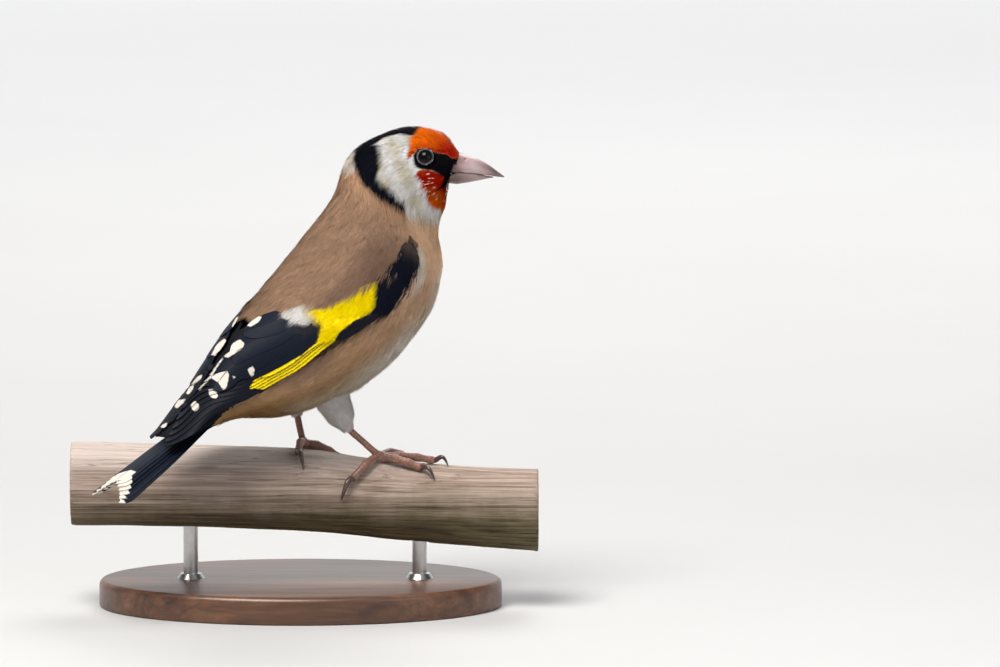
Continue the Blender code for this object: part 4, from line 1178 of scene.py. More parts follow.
def edge_angle(places, distance):
    """Angle of the spots that lie a distance in millimetres up from the wing's lower edge."""
    places, distance = np.broadcast_arrays(places, distance)
    index = np.clip(((places - ARC_PLACES[0]) / 0.1), 0, len(ARC_PLACES) - 1.001)
    wanted = np.interp(places.ravel(), ARC_PLACES, EDGE_ARCS) - distance.ravel()
    out = np.empty(wanted.size)
    for i, (row, arc) in enumerate(zip(index.ravel(), wanted)):
        low = int(row)
        share = row - low
        before, after = (np.interp(arc, ARCS[row_at], ARC_ANGLES) for row_at in (low, low + 1))
        out[i] = (1 - share) * before + share * after
    return out.reshape(places.shape)


# Place where the long feathers start, and places of the tips of primaries and secondaries, lowest first
LONG_FEATHER_ROOT = 13.9
PRIMARY_TIPS = (23.0, 22.8, 22.4, 22.0, 21.5, 21.0, 20.5, 20.0, 19.5, 19.1, 18.8)
SECONDARY_TIPS = (17.2, 17.5, 17.9, 18.3, 18.7)
# Widths of those feathers, and how far one lies above the next
PRIMARY_WIDTH = 2.7
SECONDARY_WIDTH = 3.4
PRIMARY_PITCH = 0.72
SECONDARY_PITCH = 1.3
# The far wing's tips end a little sooner, and its feathers lie a little lower
FAR_TIP_SHORTER = 0.3
FAR_WING_SUNK = 0.15
# Distance given to a spot that lies in no marking
NO_MARK = -9.0
# White marks of the wing in the profile view, and those of the far wing that show over the back
SIDE_MARKS = (
    ((250, 370), (254, 366), (257, 368), (256, 375), (253, 377), (251, 372)),
    ((235, 377), (237, 375), (238, 377), (237, 380)),
    ((211, 390), (215, 389), (219, 391), (221, 396), (218, 399), (213, 396)),
    ((248, 325), (251, 319), (258, 315), (265, 318), (262, 323), (254, 328)),
    ((229, 354), (236, 344), (243, 340), (248, 344), (246, 349), (239, 354), (231, 358), (229, 357)),
    ((214, 378), (220, 374), (231, 371), (232, 377), (229, 388), (226, 390), (222, 383)),
    ((194, 404), (198, 401), (202, 404), (202, 409), (198, 411), (195, 409)),
    ((226, 356), (227.5, 357), (214.5, 377), (202, 391), (201, 390), (213, 375)),
    ((154, 441), (160, 436), (162, 437), (158, 443)),
)
FAR_MARKS = (
    ((233, 326), (237, 318), (243, 315), (246, 318), (243, 324), (236, 328)),
    ((213, 355), (218, 345), (226, 338), (229, 342), (226, 349), (222, 356)),
    ((193, 384), (200, 376), (205, 374), (203, 379), (196, 384)),
    ((188, 393), (192, 386), (196, 385), (195, 389), (191, 394)),
    ((176, 406), (182, 400), (188, 398), (186, 402), (179, 408)),
    ((162, 427), (166, 423), (170, 422), (168, 427)),
    ((152, 443), (158, 438), (163, 438), (158, 442)),
)
# Tertials, the longest first: (place, angle) of root and tip, and width
NEAR_TERTIALS = (
    (14.2, 56, 19.2, 29, 7.0),
    (14.3, 48, 17.1, 20, 6.4),
    (14.4, 40, 15.4, 16, 6.0),
)
FAR_TERTIALS = (
    (14.2, 52, 19.3, 9, 7.6),
    (14.5, 46, 17.2, 4, 7.0),
    (14.75, 40, 15.6, 8, 6.4),
)
# Greater coverts, distance between the roots of the small ones, and thickness of the underlay
GREATER_COUNT = 9
GREATER_WIDTH = 3.0
COVERT_SPACING = 0.55
ARM_THICKNESS = 0.35


def straight_path(root_place, root_angle, tip_place, tip_angle, bow=0.0):
    """A way over the form that bows by some degrees at its middle."""

    def path(s):
        return (
            root_place + (tip_place - root_place) * s,
            root_angle + (tip_angle - root_angle) * s + bow * np.sin(math.pi * s),
        )

    return path


def primary_distance(s, k):
    """Millimetres from the wing's lower edge to the middle of a primary, which fans out to its tip."""
    return 1.25 * (1 - 0.5 * s**3) + (PRIMARY_PITCH + 0.95 * smooth(s, 0.45, 1.0)) * k


def secondary_distance(s, k):
    """Millimetres from the wing's lower edge to the middle of a secondary."""
    return 4.0 + SECONDARY_PITCH * k * (0.4 + 0.6 * s) - 0.4 * s


def wing_vanes(side, rng):
    """The feathers of one folded wing, from the lowest primary to the coverts."""
    vanes = []
    sunk = FAR_WING_SUNK if side > 0 else 0.0

    def add(path, width, lifts, crown, steps, tint, gold=True, limit=None, columns=9, ribbon=None):
        lifts = (lifts[0] - sunk, lifts[1] - sunk)
        points, faces, measures = vane_grid(
            WING_STATIONS, path, width, lifts, crown, steps, columns, side, ribbon,
        )
        colours = np.tile(tint * rng.uniform(0.85, 1.15), (len(points), 1))
        nowhere = np.full(len(points), NO_MARK)
        white = nowhere
        for outline in SIDE_MARKS:
            mark = marking(measures, outline)
            white = np.maximum(white, mark if side < 0 else np.where(measures[:, 4] > 30, mark, NO_MARK))
        if side > 0:
            seen = picture(points)
            for outline in FAR_MARKS:
                mark = inside(outline, *seen) * PIXEL
                white = np.maximum(white, np.where(measures[:, 4] < 34, mark, NO_MARK))
        yellow = marking(measures, YELLOW_PANEL) if gold else nowhere
        if limit is not None:
            yellow = np.minimum(yellow, limit(measures[:, 1]))
        vanes.append((points, faces, measures, colours, white, yellow))

    def add_ribbon(tip, distance, k, width, lifts, crown, steps, tint, limit):
        def place_at(s):
            return LONG_FEATHER_ROOT + (tip - LONG_FEATHER_ROOT) * s

        def path(s):
            return place_at(s), edge_angle(place_at(s), distance(s, k))

        def ribbon(s, across):
            at_place = np.repeat(place_at(s)[:, None], across.shape[1], axis=1)
            return at_place, edge_angle(at_place, distance(s, k)[:, None] - across)

        add(path, width, lifts, crown, steps, tint, limit=limit, ribbon=ribbon)

    # Each primary's yellow stops short of its lower edge, which keeps a thin dark line: partly black feather,
    # partly painted shade along the edge where it lies over the next feather
    for k, tip in enumerate(PRIMARY_TIPS):
        add_ribbon(
            tip - (FAR_TIP_SHORTER if side > 0 else 0.0), primary_distance, k, PRIMARY_WIDTH,
            (-0.3 + 0.03 * k, 0.08 + 0.03 * k), 0.04, 64, WING_BLACK, lambda u: 0.88 - u,
        )
    # The secondaries keep such a dark lower edge too, partly painted shade
    for k, tip in enumerate(SECONDARY_TIPS):
        add_ribbon(
            tip, secondary_distance, k, SECONDARY_WIDTH, (0.02, 0.36 + 0.03 * k), 0.06, 40, SILK_BLACK,
            lambda u: (0.86 - u) * 0.8,
        )
    tertials = NEAR_TERTIALS if side < 0 else FAR_TERTIALS
    for k, (*ends, width) in enumerate(tertials):
        lifts = (0.2 + 0.12 * k, 0.46 + 0.12 * k)
        add(straight_path(*ends, -5 + 2 * k), width, lifts, 0.14, 40, SILK_BLACK, gold=False, columns=13)
    for k in range(GREATER_COUNT):
        f = k / (GREATER_COUNT - 1)
        path = straight_path(13.0 + 0.9 * f, 93 - 30 * f, 14.4 + 0.4 * f, 79 - 44 * f)
        add(path, GREATER_WIDTH, (-0.1 + 0.02 * k, 0.35 + 0.02 * k), 0.1, 18, WING_BLACK)
    return vanes


def make_wing(side, name, look, node):
    """The long feathers and greater coverts of one folded wing."""
    rng = np.random.default_rng(SEED + 7 + side)
    joined_vanes(name, look, "plumage_black", wing_vanes(side, rng), node)


def covert_paint(places, angles):
    """Colour of the small coverts at the bend of the wing."""
    across, down = profile(WING_STATIONS, places, angles)
    colours = np.tile(WING_BLACK * 1.9, (len(places), 1))
    colours = blend_in(colours, BRIGHT_YELLOW, smooth(inside(YELLOW_PANEL, across, down), -0.6, 0.6))
    white = smooth(inside(PALE_PATCH, across, down), -1.0, 1.0) * (1 - smooth(across, 303, 321))
    colours = blend_in(colours, PATCH_WHITE, white)
    upper, _ = wing_angles(places)
    brown = (1 - smooth(np.abs(angles), upper + 1, upper + 5)) * smooth(places, 12.6, 13.2)
    colours = blend_in(colours, MANTLE_TAN, brown * (1 - white))
    grey = smooth(-places, -11.3, -10.2) * 0.7
    return blend_in(colours, COVERT_GREY, grey)


def covert_size(places, angles):
    """Sizes of the small coverts."""
    ones = np.ones(len(places))
    length = 2.6 + 1.2 * smooth(places, 10.5, 13.0)
    rise = smooth(places, 13.0, 14.0)
    across, down = profile(WING_STATIONS, places + 0.3, angles)
    rise = rise + smooth(inside(PALE_PATCH, across, down), -3.0, 1.0)
    root_lift = 0.1 * rise - 0.5 * (rise > 1.0)
    return length, 1.6 * ones, root_lift, 0.4 + 0.25 * rise, 0 * ones, 0.14 * ones, 0.05 * ones


def make_coverts(side, name, look):
    """Small coverts over the arm of one wing."""

    def allowed(places, angles):
        upper, lower = wing_angles(places)
        a = angles * side
        room = (a > upper) & (a < lower - 1.5) & (places > 10.1)
        # Behind the arm only the yellow panel has small feathers
        by_place = np.linalg.norm(frames(WING_STATIONS, places, angles)[1], axis=1)
        ahead = places + 2.8 / by_place
        seen = profile(WING_STATIONS, ahead, angles)
        # The stripes below the panel are the bare edges of the long feathers
        striped = (seen[0] < 345) & (seen[1] > 344 - 0.33 * (seen[0] - 316))
        golden = (inside(YELLOW_PANEL, *seen) > 0) & ~striped
        pale = (inside(PALE_PATCH, *seen) > 0) & (a > 0) & (places > 12.0)
        return (room & (golden | (places < 12.9))) | pale

    def spacing(places, angles):
        return np.full(len(places), COVERT_SPACING)

    places, angles = scattered(WING_STATIONS, (10.0, 15.2), spacing, allowed, SEED + 21 + side)
    coat(
        name, look, "plumage_black", WING_STATIONS, places, angles, covert_paint, covert_size, 20,
        SEED + 31 + side,
    )


def make_arm(side, name, look):
    """The dark underlay of one wing, which closes the gaps between its feathers."""
    bm = bmesh.new()
    rows, span = 34, 20
    previous = None
    for place in np.linspace(10.1, 22.4, rows):
        upper, lower = (float(v) for v in wing_angles(place))
        first = upper + 1.5 * min(upper / 9, 1)
        last = lower - 2.5 - 6 * float(smooth(place, 18, 20))
        half = np.linspace(first, last, span)
        height = -0.75 + 0.65 * float(smooth(-place, -13.4, -12.0))
        ring_angles = np.concatenate((half, half[::-1])) * side
        lifts = np.repeat((height, height - ARM_THICKNESS), span)
        previous = ring_through(bm, form(WING_STATIONS, place, ring_angles, lifts), previous)
    bmesh.ops.holes_fill(bm, edges=bm.edges)
    bmesh.ops.recalc_face_normals(bm, faces=bm.faces)
    made = bmesh_object(name, bm, look)
    set_tint(made.data, np.tile(WING_BLACK * 0.6, (len(made.data.vertices), 1)))
    link(made, "plumage_black")


# The tail's slope in degrees, and (x, z) of its root on the bird
TAIL_PITCH = 32.0
TAIL_ROOT = (-31.0, 45.8)
TAIL_LENGTH = 28.7
TAIL_FORK = 3.6
TAIL_FEATHER_WIDTH = 5.6
# Length of the white tip of each pair, the middle pair first
TAIL_TIPS = (4.4, 3.8, 3.0, 2.2, 1.2, 1.0)


def tail_vane(pair, side, rng):
    """One tail feather of a pair, 0 in the middle."""
    pitch = math.radians(TAIL_PITCH)
    back = np.array((-math.cos(pitch), 0, -math.sin(pitch)))
    up = np.array((-math.sin(pitch), 0, math.cos(pitch)))
    steps, columns = 40, 11
    length = TAIL_LENGTH + TAIL_FORK * (pair / 5) ** 1.3
    s = np.linspace(0, 1, steps)
    u = np.linspace(-1, 1, columns)
    left = length * (1 - s)
    # The outer web is narrower, and the tip slants toward it
    share = 0.5 + 0.5 * smooth(s, 0, 0.6)
    tip_round = np.sqrt(np.clip(1 - np.clip(1 - left / 3.0, 0, 1) ** 2.4, 0.0004, 1))
    middle = side * (0.5 + (0.35 + 0.78 * s) * pair)
    half = TAIL_FEATHER_WIDTH / 2 * share * tip_round
    y = middle[:, None] + side * u[None, :] * half[:, None]
    reach = (length * s)[:, None] - 0.9 * (np.clip(-u, 0, 1) * 0.8)[None, :] * smooth(s, 0.85, 1)[:, None]
    level = -0.24 * pair - (0.12 if side < 0 else 0)
    height = level - 0.012 * y * y + 0.1 * (1 - u**2)[None, :] + 0.05 * rng.normal()
    layers = []
    for face in (1, -1):
        lifted = height + face * 0.06
        x = TAIL_ROOT[0] + back[0] * reach + up[0] * lifted
        z = TAIL_ROOT[1] + back[2] * reach + up[2] * lifted
        layers.append(bird_to_world(x.ravel(), y.ravel(), z.ravel()))
    faces = slab_faces(steps, columns, side > 0)
    u_grid, left_grid = np.tile(u, steps), np.repeat(left, columns)
    measures = np.stack((np.repeat(s, columns), u_grid, left_grid, 0 * u_grid, 0 * u_grid), axis=1)
    measures = np.concatenate((measures, measures))
    u, left = measures[:, 1], measures[:, 2]
    white = TAIL_TIPS[pair] * (1 - 0.35 * np.clip(u, -0.2, 1)) - left
    if pair >= 4:
        # The outer two pairs have a white panel on the inner web as well
        white = np.maximum(white, np.minimum(11.0 - left, left - 4.0) * (u < -0.1) - 0.3)
    tint = np.tile(SILK_BLACK * rng.uniform(0.8, 1.1), (len(measures), 1))
    return np.concatenate(layers), faces, measures, tint, white, np.full(len(measures), NO_MARK)


def make_tail(look):
    """The twelve tail feathers."""
    rng = np.random.default_rng(SEED + 9)
    vanes = [tail_vane(pair, side, rng) for pair in range(6) for side in (1, -1)]
    joined_vanes("tail_feathers", look, "plumage_black", vanes, "tail")


# Thighs

# Top and bottom of each thigh, its tufts and their blades, its radii, and shades along a blade
RIGHT_HIP, RIGHT_ANKLE = (5.0, -4.5, 50.0), (10.4, -5.6, 39.8)
LEFT_HIP, LEFT_ANKLE = (-2.0, 5.0, 51.0), (-0.9, 3.6, 42.0)
THIGH_TUFTS = 560
THIGH_BLADES = 22
THIGH_RADIUS, ANKLE_RADIUS = 4.4, 2.1
# Darker toward a thigh blade's root: partly grey feather bases, partly painted shade between tufts
THIGH_SHADES = {0.0: 0.6, 0.5: 0.95, 1.0: 1.05}


def thigh_coat(name, look, hip, ankle, highest, seed):
    """Soft feathers down one thigh, from a share of its length on."""
    rng = np.random.default_rng(SEED + seed)
    hip, ankle = np.array(hip), np.array(ankle)
    axis = ankle - hip
    reach = np.linalg.norm(axis)
    axis /= reach
    first = np.cross(axis, (0.3, 1.0, 0.0))
    first /= np.linalg.norm(first)
    second = np.cross(axis, first)
    s = rng.uniform(highest, 0.93, THIGH_TUFTS)
    turn = rng.uniform(0, 2 * math.pi, THIGH_TUFTS)
    radial = first * np.cos(turn)[:, None] + second * np.sin(turn)[:, None]
    side = np.cross(axis, radial)
    radius = THIGH_RADIUS + (ANKLE_RADIUS - THIGH_RADIUS) * s
    radius = radius * (1 - 0.45 * smooth(s, 0.7, 1.0))
    tuft = np.repeat(np.arange(THIGH_TUFTS), THIGH_BLADES)
    spread = np.tile(np.linspace(-1, 1, THIGH_BLADES), THIGH_TUFTS) + rng.normal(0, 0.15, len(tuft))
    long = (2.9 - 1.1 * s)[tuft] * (1 - 0.3 * np.clip(np.abs(spread), 0, 1))
    long = long * rng.uniform(0.8, 1.15, len(tuft))
    vertices, colours, uv, normals = [], [], [], []
    shade = (1 + rng.normal(0, 0.05, THIGH_TUFTS))[tuft] * (1 + rng.normal(0, 0.06, len(tuft)))
    for stage, fan, ends in BLADE_STAGES:
        # The feathers close in on the shank below the end of the flesh
        along = s[tuft] * reach + long * stage
        end = np.clip((along - reach * 0.8) / (reach * 0.35), 0, 1)
        out = radius[tuft] * (1 - end) + 0.9 * end - 0.5 * (1 - stage) + 0.15 * stage
        out = out + rng.normal(0, 0.06, len(tuft)) * stage
        offset = 0.8 * spread * fan
        centre = hip + axis * along[:, None] + radial[tuft] * out[:, None] + side[tuft] * offset[:, None]
        for sign in ends:
            vertices.append(centre + side[tuft] * (sign * 0.07))
            colours.append(THIGH_GREY * THIGH_SHADES[stage] * shade[:, None])
            uv.append(np.stack((
                0.06 + 0.4 * (turn / 2 / math.pi)[tuft] + spread * 0.0012 + (0.5 if seed % 2 else 0.0),
                0.92 + 0.06 * s[tuft] + (stage - 0.5) * 0.0024,
            ), axis=1))
            normals.append(radial[tuft])
    made = array_mesh(
        name, np.concatenate(vertices), blade_triangles(len(tuft))[:, ::-1], look,
        np.concatenate(uv), normals=np.concatenate(normals),
    )
    set_tint(made.data, np.concatenate(colours))
    link(made, "plumage_pale")


# Eyes


def make_eye(side, name, look, ring_look):
    """A glossy eyeball and the beaded ring of its lids."""
    point, _, _, normal = eye_spot(side)
    outward = Vector(normal[0])
    centre = Vector(point[0]) - outward * EYE_SUNK
    turn = outward.to_track_quat("Z", "Y").to_matrix().to_4x4()
    place = Matrix.Translation(centre * MM) @ turn
    bm = bmesh.new()
    bmesh.ops.create_uvsphere(bm, u_segments=48, v_segments=32, radius=EYE_RADIUS * MM)
    bmesh.ops.transform(bm, matrix=place, verts=bm.verts)
    link(bmesh_object("eyeball_" + name, bm, look), "eye", "eye_" + name)
    bm = bmesh.new()
    ring = bmesh.ops.create_circle(bm, segments=14, radius=LID_THICKNESS * MM)["verts"]
    upright = Matrix.Rotation(math.radians(90), 3, "X")
    bmesh.ops.rotate(bm, verts=ring, cent=(0, 0, 0), matrix=upright)
    bmesh.ops.translate(bm, verts=ring, vec=(LID_RADIUS * MM, 0, (EYE_SUNK - 0.12) * MM))
    bmesh.ops.spin(
        bm, geom=bm.verts[:] + bm.edges[:], cent=(0, 0, 0), axis=(0, 0, 1),
        angle=2 * math.pi, steps=64, use_merge=True,
    )
    bmesh.ops.remove_doubles(bm, verts=bm.verts, dist=1e-7)
    bmesh.ops.recalc_face_normals(bm, faces=bm.faces)
    rim_verts = len(bm.verts)
    rng = np.random.default_rng(SEED + 3)
    for k in range(BEAD_COUNT):
        turn_k = 2 * math.pi * (k + rng.uniform(-0.25, 0.25)) / BEAD_COUNT
        size = rng.uniform(0.06, 0.13)
        bead = bmesh.ops.create_icosphere(bm, subdivisions=2, radius=size * MM)["verts"]
        bmesh.ops.scale(bm, vec=(1.5, 1.0, 0.8), verts=bead)
        bmesh.ops.rotate(bm, verts=bead, cent=(0, 0, 0), matrix=Matrix.Rotation(turn_k, 3, "Z"))
        reach = BEAD_REACH + rng.uniform(-0.07, 0.07)
        bmesh.ops.translate(bm, verts=bead, vec=(
            reach * math.cos(turn_k) * MM, reach * math.sin(turn_k) * MM, (EYE_SUNK - 0.02) * MM,
        ))
    bmesh.ops.transform(bm, matrix=place, verts=bm.verts)
    bead = np.arange(len(bm.verts)) >= rim_verts
    lids = bmesh_object("lids_" + name, bm, ring_look)
    link(lids, "plumage_head")
    set_tint(lids.data, np.where(bead[:, None], BEAD_GREY, LID_BLACK))


# Floor, light and camera


# The floor in metres: half its side, where it starts to rise and how fast
FLOOR_HALF = 6.0
FLOOR_RISE = 3.0
FLOOR_CURVE = 0.8
# Its glow, and where that starts and is full
GLOW = 0.62
GLOW_START = 0.2
GLOW_FULL = 1.75


def make_floor():
    """The pale floor that curves up far behind, past where any view of the model is taken from."""
    look, graph, shader, _ = mottled_look(
        "pale_floor", 3.0, (0.3, (0.5, 0.497, 0.493)), (0.7, (0.53, 0.527, 0.523)),
        Roughness=0.7, Emission_Strength=1.0,
    )
    # It glows a little where the lights no longer reach
    parts = graph.add("ShaderNodeSeparateXYZ", {"Vector": object_vector(graph)})
    glow = graph.remap(parts.outputs["Y"], GLOW_START, GLOW_FULL, 0.0, GLOW)
    graph.join(glow, shader.inputs["Emission Color"])
    bm = bmesh.new()
    bmesh.ops.create_grid(bm, x_segments=2, y_segments=60, size=1.0)
    bmesh.ops.scale(bm, vec=(FLOOR_HALF, FLOOR_HALF, 1.0), verts=bm.verts)
    for vert in bm.verts:
        behind = max(vert.co.y - FLOOR_RISE, 0.0)
        vert.co.z = behind * behind * FLOOR_CURVE
    floor = bmesh_object("floor", bm, look)


def area_light(name, place, aim, size, power, colour):
    """A soft light that looks at a point; places in metres."""
    data = bpy.data.lights.new(name, "AREA")
    data.shape = "DISK"
    data.size = size
    data.energy = power
    data.color = colour
    lamp = bpy.data.objects.new(name, data)
    lamp.location = place
    lamp.rotation_euler = (Vector(aim) - Vector(place)).to_track_quat("-Z", "Y").to_euler()
    bpy.context.scene.collection.objects.link(lamp)


def make_light():
    """Soft studio light: a large key from the upper left, a fill and a low rim."""
    world = bpy.data.worlds.new("studio")
    bpy.context.scene.world = world
    world.use_nodes = True
    background = world.node_tree.nodes["Background"]
    background.inputs["Color"].default_value = (0.86, 0.9, 1.0, 1.0)
    background.inputs["Strength"].default_value = 0.3
    aim = (0.0, 0.0, 0.06)
    area_light("key", (-0.3, -0.5, 1.1), aim, 0.7, 21.0, (1.0, 0.97, 0.93))
    area_light("fill", (0.9, -0.9, 0.6), aim, 0.9, 3.0, (0.95, 0.97, 1.0))
    area_light("back", (0.2, 0.9, 0.9), aim, 0.6, 6.0, (1.0, 0.98, 0.95))


def make_camera():
    """The picture's view from the right side of the bird."""
    data = bpy.data.cameras.new("camera")
    data.sensor_width = SENSOR
    data.lens = SENSOR * CAMERA_DISTANCE / FIELD_WIDTH
    data.clip_start = 0.05
    data.clip_end = 50.0
    camera = bpy.data.objects.new("camera", data)
    tilt = math.radians(ELEVATION)
    aim = Vector(CAMERA_AIM) * MM
    away = Vector((0, -math.cos(tilt), math.sin(tilt))) * CAMERA_DISTANCE * MM
    camera.location = aim + away
    camera.rotation_euler = (-away).to_track_quat("-Z", "Y").to_euler()
    bpy.context.scene.collection.objects.link(camera)
    bpy.context.scene.camera = camera
    bpy.context.scene.view_settings.view_transform = "Standard"


# Bill, feet, branch and stand


def make_bill_look():
    """Pinkish ivory horn, darker along the ridge and toward the tip."""
    look, graph, shader = new_look(
        "bill_horn", Roughness=0.36, Subsurface_Weight=0.12, Subsurface_Scale=0.0006,
        Specular_IOR_Level=0.5, Coat_Weight=0.15,
    )
    vector = object_vector(graph)
    parts = graph.add("ShaderNodeSeparateXYZ", {"Vector": vector})
    streak = grouped(graph, FIBRE, {"Vector": vector, "Scale": 900.0, "Stretch": 0.12})
    low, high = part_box("upper_bill")
    along = graph.remap(parts.outputs["X"], low.x, high.x)
    noisy = graph.math("MULTIPLY_ADD", graph.math("SUBTRACT", streak["Value"], 0.5), 0.35, along)
    base = graph.ramp(noisy, (
        (0.0, srgb(124, 98, 94)), (0.16, srgb(160, 136, 134)),
        (0.34, srgb(174, 154, 154)), (0.62, srgb(162, 134, 130)),
        (0.85, srgb(118, 94, 90)), (1.0, srgb(176, 164, 156)),
    ))
    # The ridge line falls from the base to the tip; dark horn lies just under it toward the tip
    ridge_height = graph.math("MULTIPLY_ADD", along, -5.3 * MM, 98.6 * MM)
    below = graph.math("SUBTRACT", ridge_height, parts.outputs["Z"])
    near = graph.remap(below, 0.0, 1.3 * MM, 1.0, 0.0)
    forward = graph.remap(along, 0.3, 0.8, 0.0, 0.75)
    under = graph.remap(below, 3.2 * MM, 5.6 * MM, 0.0, 0.6)
    base = graph.mix(under, base, srgb(122, 98, 84))
    colour = graph.mix(graph.math("MULTIPLY", near, forward), base, srgb(76, 66, 68))
    graph.join(colour, shader.inputs["Base Color"])
    bumped(graph, shader, streak["Value"], 0.03, 0.35)
    return look


# Base of the bill in the coordinates of the head, and how far it is carried into the face
BILL_BASE_TOP = (28.35, 98.5)
BILL_BASE_BOTTOM = (26.1, 91.5)
BILL_BASE_DEPTH = 0.75
BILL_ROOT = 1.6
MOUTH_CLOSING = 0.14
CORNER_DEPTH = 0.5


def make_bill(look):
    """Both halves of the bill, finely meshed, with their bases carried on into the face."""
    turn = FRONT_STATIONS[0][6]
    base_top, base_bottom = (
        bird_to_world(np.array([x]), np.array([0.0]), np.array([z]), turn)[0]
        for x, z in (BILL_BASE_TOP, BILL_BASE_BOTTOM)
    )
    side = bird_to_world(np.array([0.0]), np.array([1.0]), np.array([0.0]), turn)[0]
    side = Vector(side - bird_to_world(np.array([0.0]), np.array([0.0]), np.array([0.0]), turn)[0])
    forward = side.cross(Vector(base_top - base_bottom).normalized()).normalized()
    forward = forward if forward.x > 0 else -forward
    for node in ("upper_bill", "lower_bill"):
        piece = joined_copy(node + "_horn", (node,))
        closing = MOUTH_CLOSING if node == "lower_bill" else -MOUTH_CLOSING
        for vert in piece.data.vertices:
            if vert.normal.z * closing > 0.5 * MOUTH_CLOSING:
                vert.co.z += closing * MM
            if (vert.co / MM - Vector(base_top)).dot(forward) < BILL_BASE_DEPTH:
                vert.co -= forward * BILL_ROOT * MM
        refined(piece, 0.11, 5)
        piece.data.materials.append(look)
        link(piece, "bill", node)
    # The soft corner of the mouth between the halves
    low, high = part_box("upper_bill")
    base_top, base_bottom = Vector(base_top), Vector(base_bottom)
    corner = base_top + (base_bottom - base_top) * CORNER_DEPTH - forward * 0.5
    upward = (base_top - base_bottom).normalized()
    turn = Matrix((forward, side, upward)).transposed().to_4x4()
    size = Matrix.Diagonal((3.2 * MM, 0.47 * (high.y - low.y), 1.15 * MM, 1.0))
    bm = bmesh.new()
    bmesh.ops.create_uvsphere(
        bm, u_segments=32, v_segments=20, radius=1.0, matrix=Matrix.Translation(corner * MM) @ turn @ size,
    )
    bmesh.ops.recalc_face_normals(bm, faces=bm.faces)
    link(bmesh_object("mouth_corner", bm, look), "bill")


def make_scale_look():
    """Pink-brown leg skin with fine wrinkles."""
    return tinted_look(
        "leg_scales", 2200.0, 0.3, Roughness=0.42, Subsurface_Weight=0.08, Subsurface_Scale=0.0005,
    )


def make_claw_look():
    """Dark brown horn."""
    look, graph, shader, mottle = mottled_look(
        "claw_horn", 900.0, (0.3, srgb(48, 34, 30)), (0.7, srgb(92, 70, 60)),
        Roughness=0.3, Coat_Weight=0.2,
    )
    bumped(graph, shader, mottle["Height"], 0.01, 0.4)
    return look


# Legs, as in the solids: the toes' joint (x, angle on the branch), and for each toe, hind toe
# first, (end x, end angle, claw x, claw angle, arch)
LEGS = {
    "right": (RIGHT_ANKLE, (17.2, 17.0), (
        (11.7, 60, 9.0, 92, 0.9), (29.2, 4, 32.3, 12, 1.2), (26.4, 30, 29.4, 47, 1.0),
        (24.0, -34, 25.4, -58, 0.9),
    )),
    "left": (LEFT_ANKLE, (0.5, -14.0), (
        (-0.4, 28, 0.8, 54, 0.9), (6.2, -66, 6.8, -90, 1.0), (1.4, -62, 0.9, -84, 0.9),
        (8.6, -46, 10.2, -66, 0.9),
    )),
}
LEG_PINK = srgb(140, 98, 82)
LEG_SEAM = srgb(84, 52, 44)
LEG_PALE = srgb(160, 124, 108)
SCUTE_LENGTH = 0.85
HIND_CLAW_RADIUS = 0.74
CLAW_RADIUS = 0.56
TOE_RADIUS = 0.8
SHANK_RADIUS = 0.74
FOOT_LIFT = 1.2
# The branch: (x, height of its middle, radius)
PERCH_STATIONS = (
    (-50.0, 26.9, 9.2),
    (-22.0, 26.4, 9.0),
    (0.0, 25.5, 9.0),
    (17.4, 23.6, 8.7),
    (33.0, 22.1, 8.7),
    (52.0, 21.0, 9.2),
)


def perch_points(x, angle, lift):
    """Points over the branch: angle in degrees from its top toward the viewer."""
    height, radius = curve(PERCH_STATIONS, x).T
    a = np.radians(angle)
    return np.stack((x, -(radius + lift) * np.sin(a), height + (radius + lift) * np.cos(a)), axis=1)


def toe_points(foot, end_x, end_angle, s):
    """A toe's centre line over the branch, s from 0 at the joint to 1 at its end."""
    lift = TOE_RADIUS + 0.12 + (FOOT_LIFT - TOE_RADIUS) * (1 - s) + 0.5 * np.sin(math.pi * s)
    return perch_points(foot[0] + (end_x - foot[0]) * s, foot[1] + (end_angle - foot[1]) * s, lift)


def claw_points(end_x, end_angle, claw_x, claw_angle, arch, s):
    """A claw's centre line, arched over the branch from the end of its toe."""
    lift = TOE_RADIUS + 0.12 + (arch + 0.25) * np.sin(math.pi * s) * 0.85 - (TOE_RADIUS - 0.15) * s**2
    x = end_x + (claw_x - end_x) * s**0.7
    return perch_points(x, end_angle + (claw_angle - end_angle) * s**1.3, lift)


def tube(bm, points, radii, sides=14):
    """A closed tube along points in millimetres."""
    points = [Vector(point) for point in points]
    previous = None
    frame_up = Vector((0.1, 0.3, 1.0))
    for i, (point, radius) in enumerate(zip(points, radii)):
        along = (points[min(i + 1, len(points) - 1)] - points[max(i - 1, 0)]).normalized()
        across = along.cross(frame_up).normalized()
        turn = Matrix((across, along.cross(across), along)).transposed().to_4x4()
        place = Matrix.Translation(point * MM) @ turn
        ring = bmesh.ops.create_circle(
            bm, cap_ends=i in (0, len(points) - 1), segments=sides, radius=radius * MM, matrix=place,
        )["verts"]
        previous = bridged(bm, ring, previous)


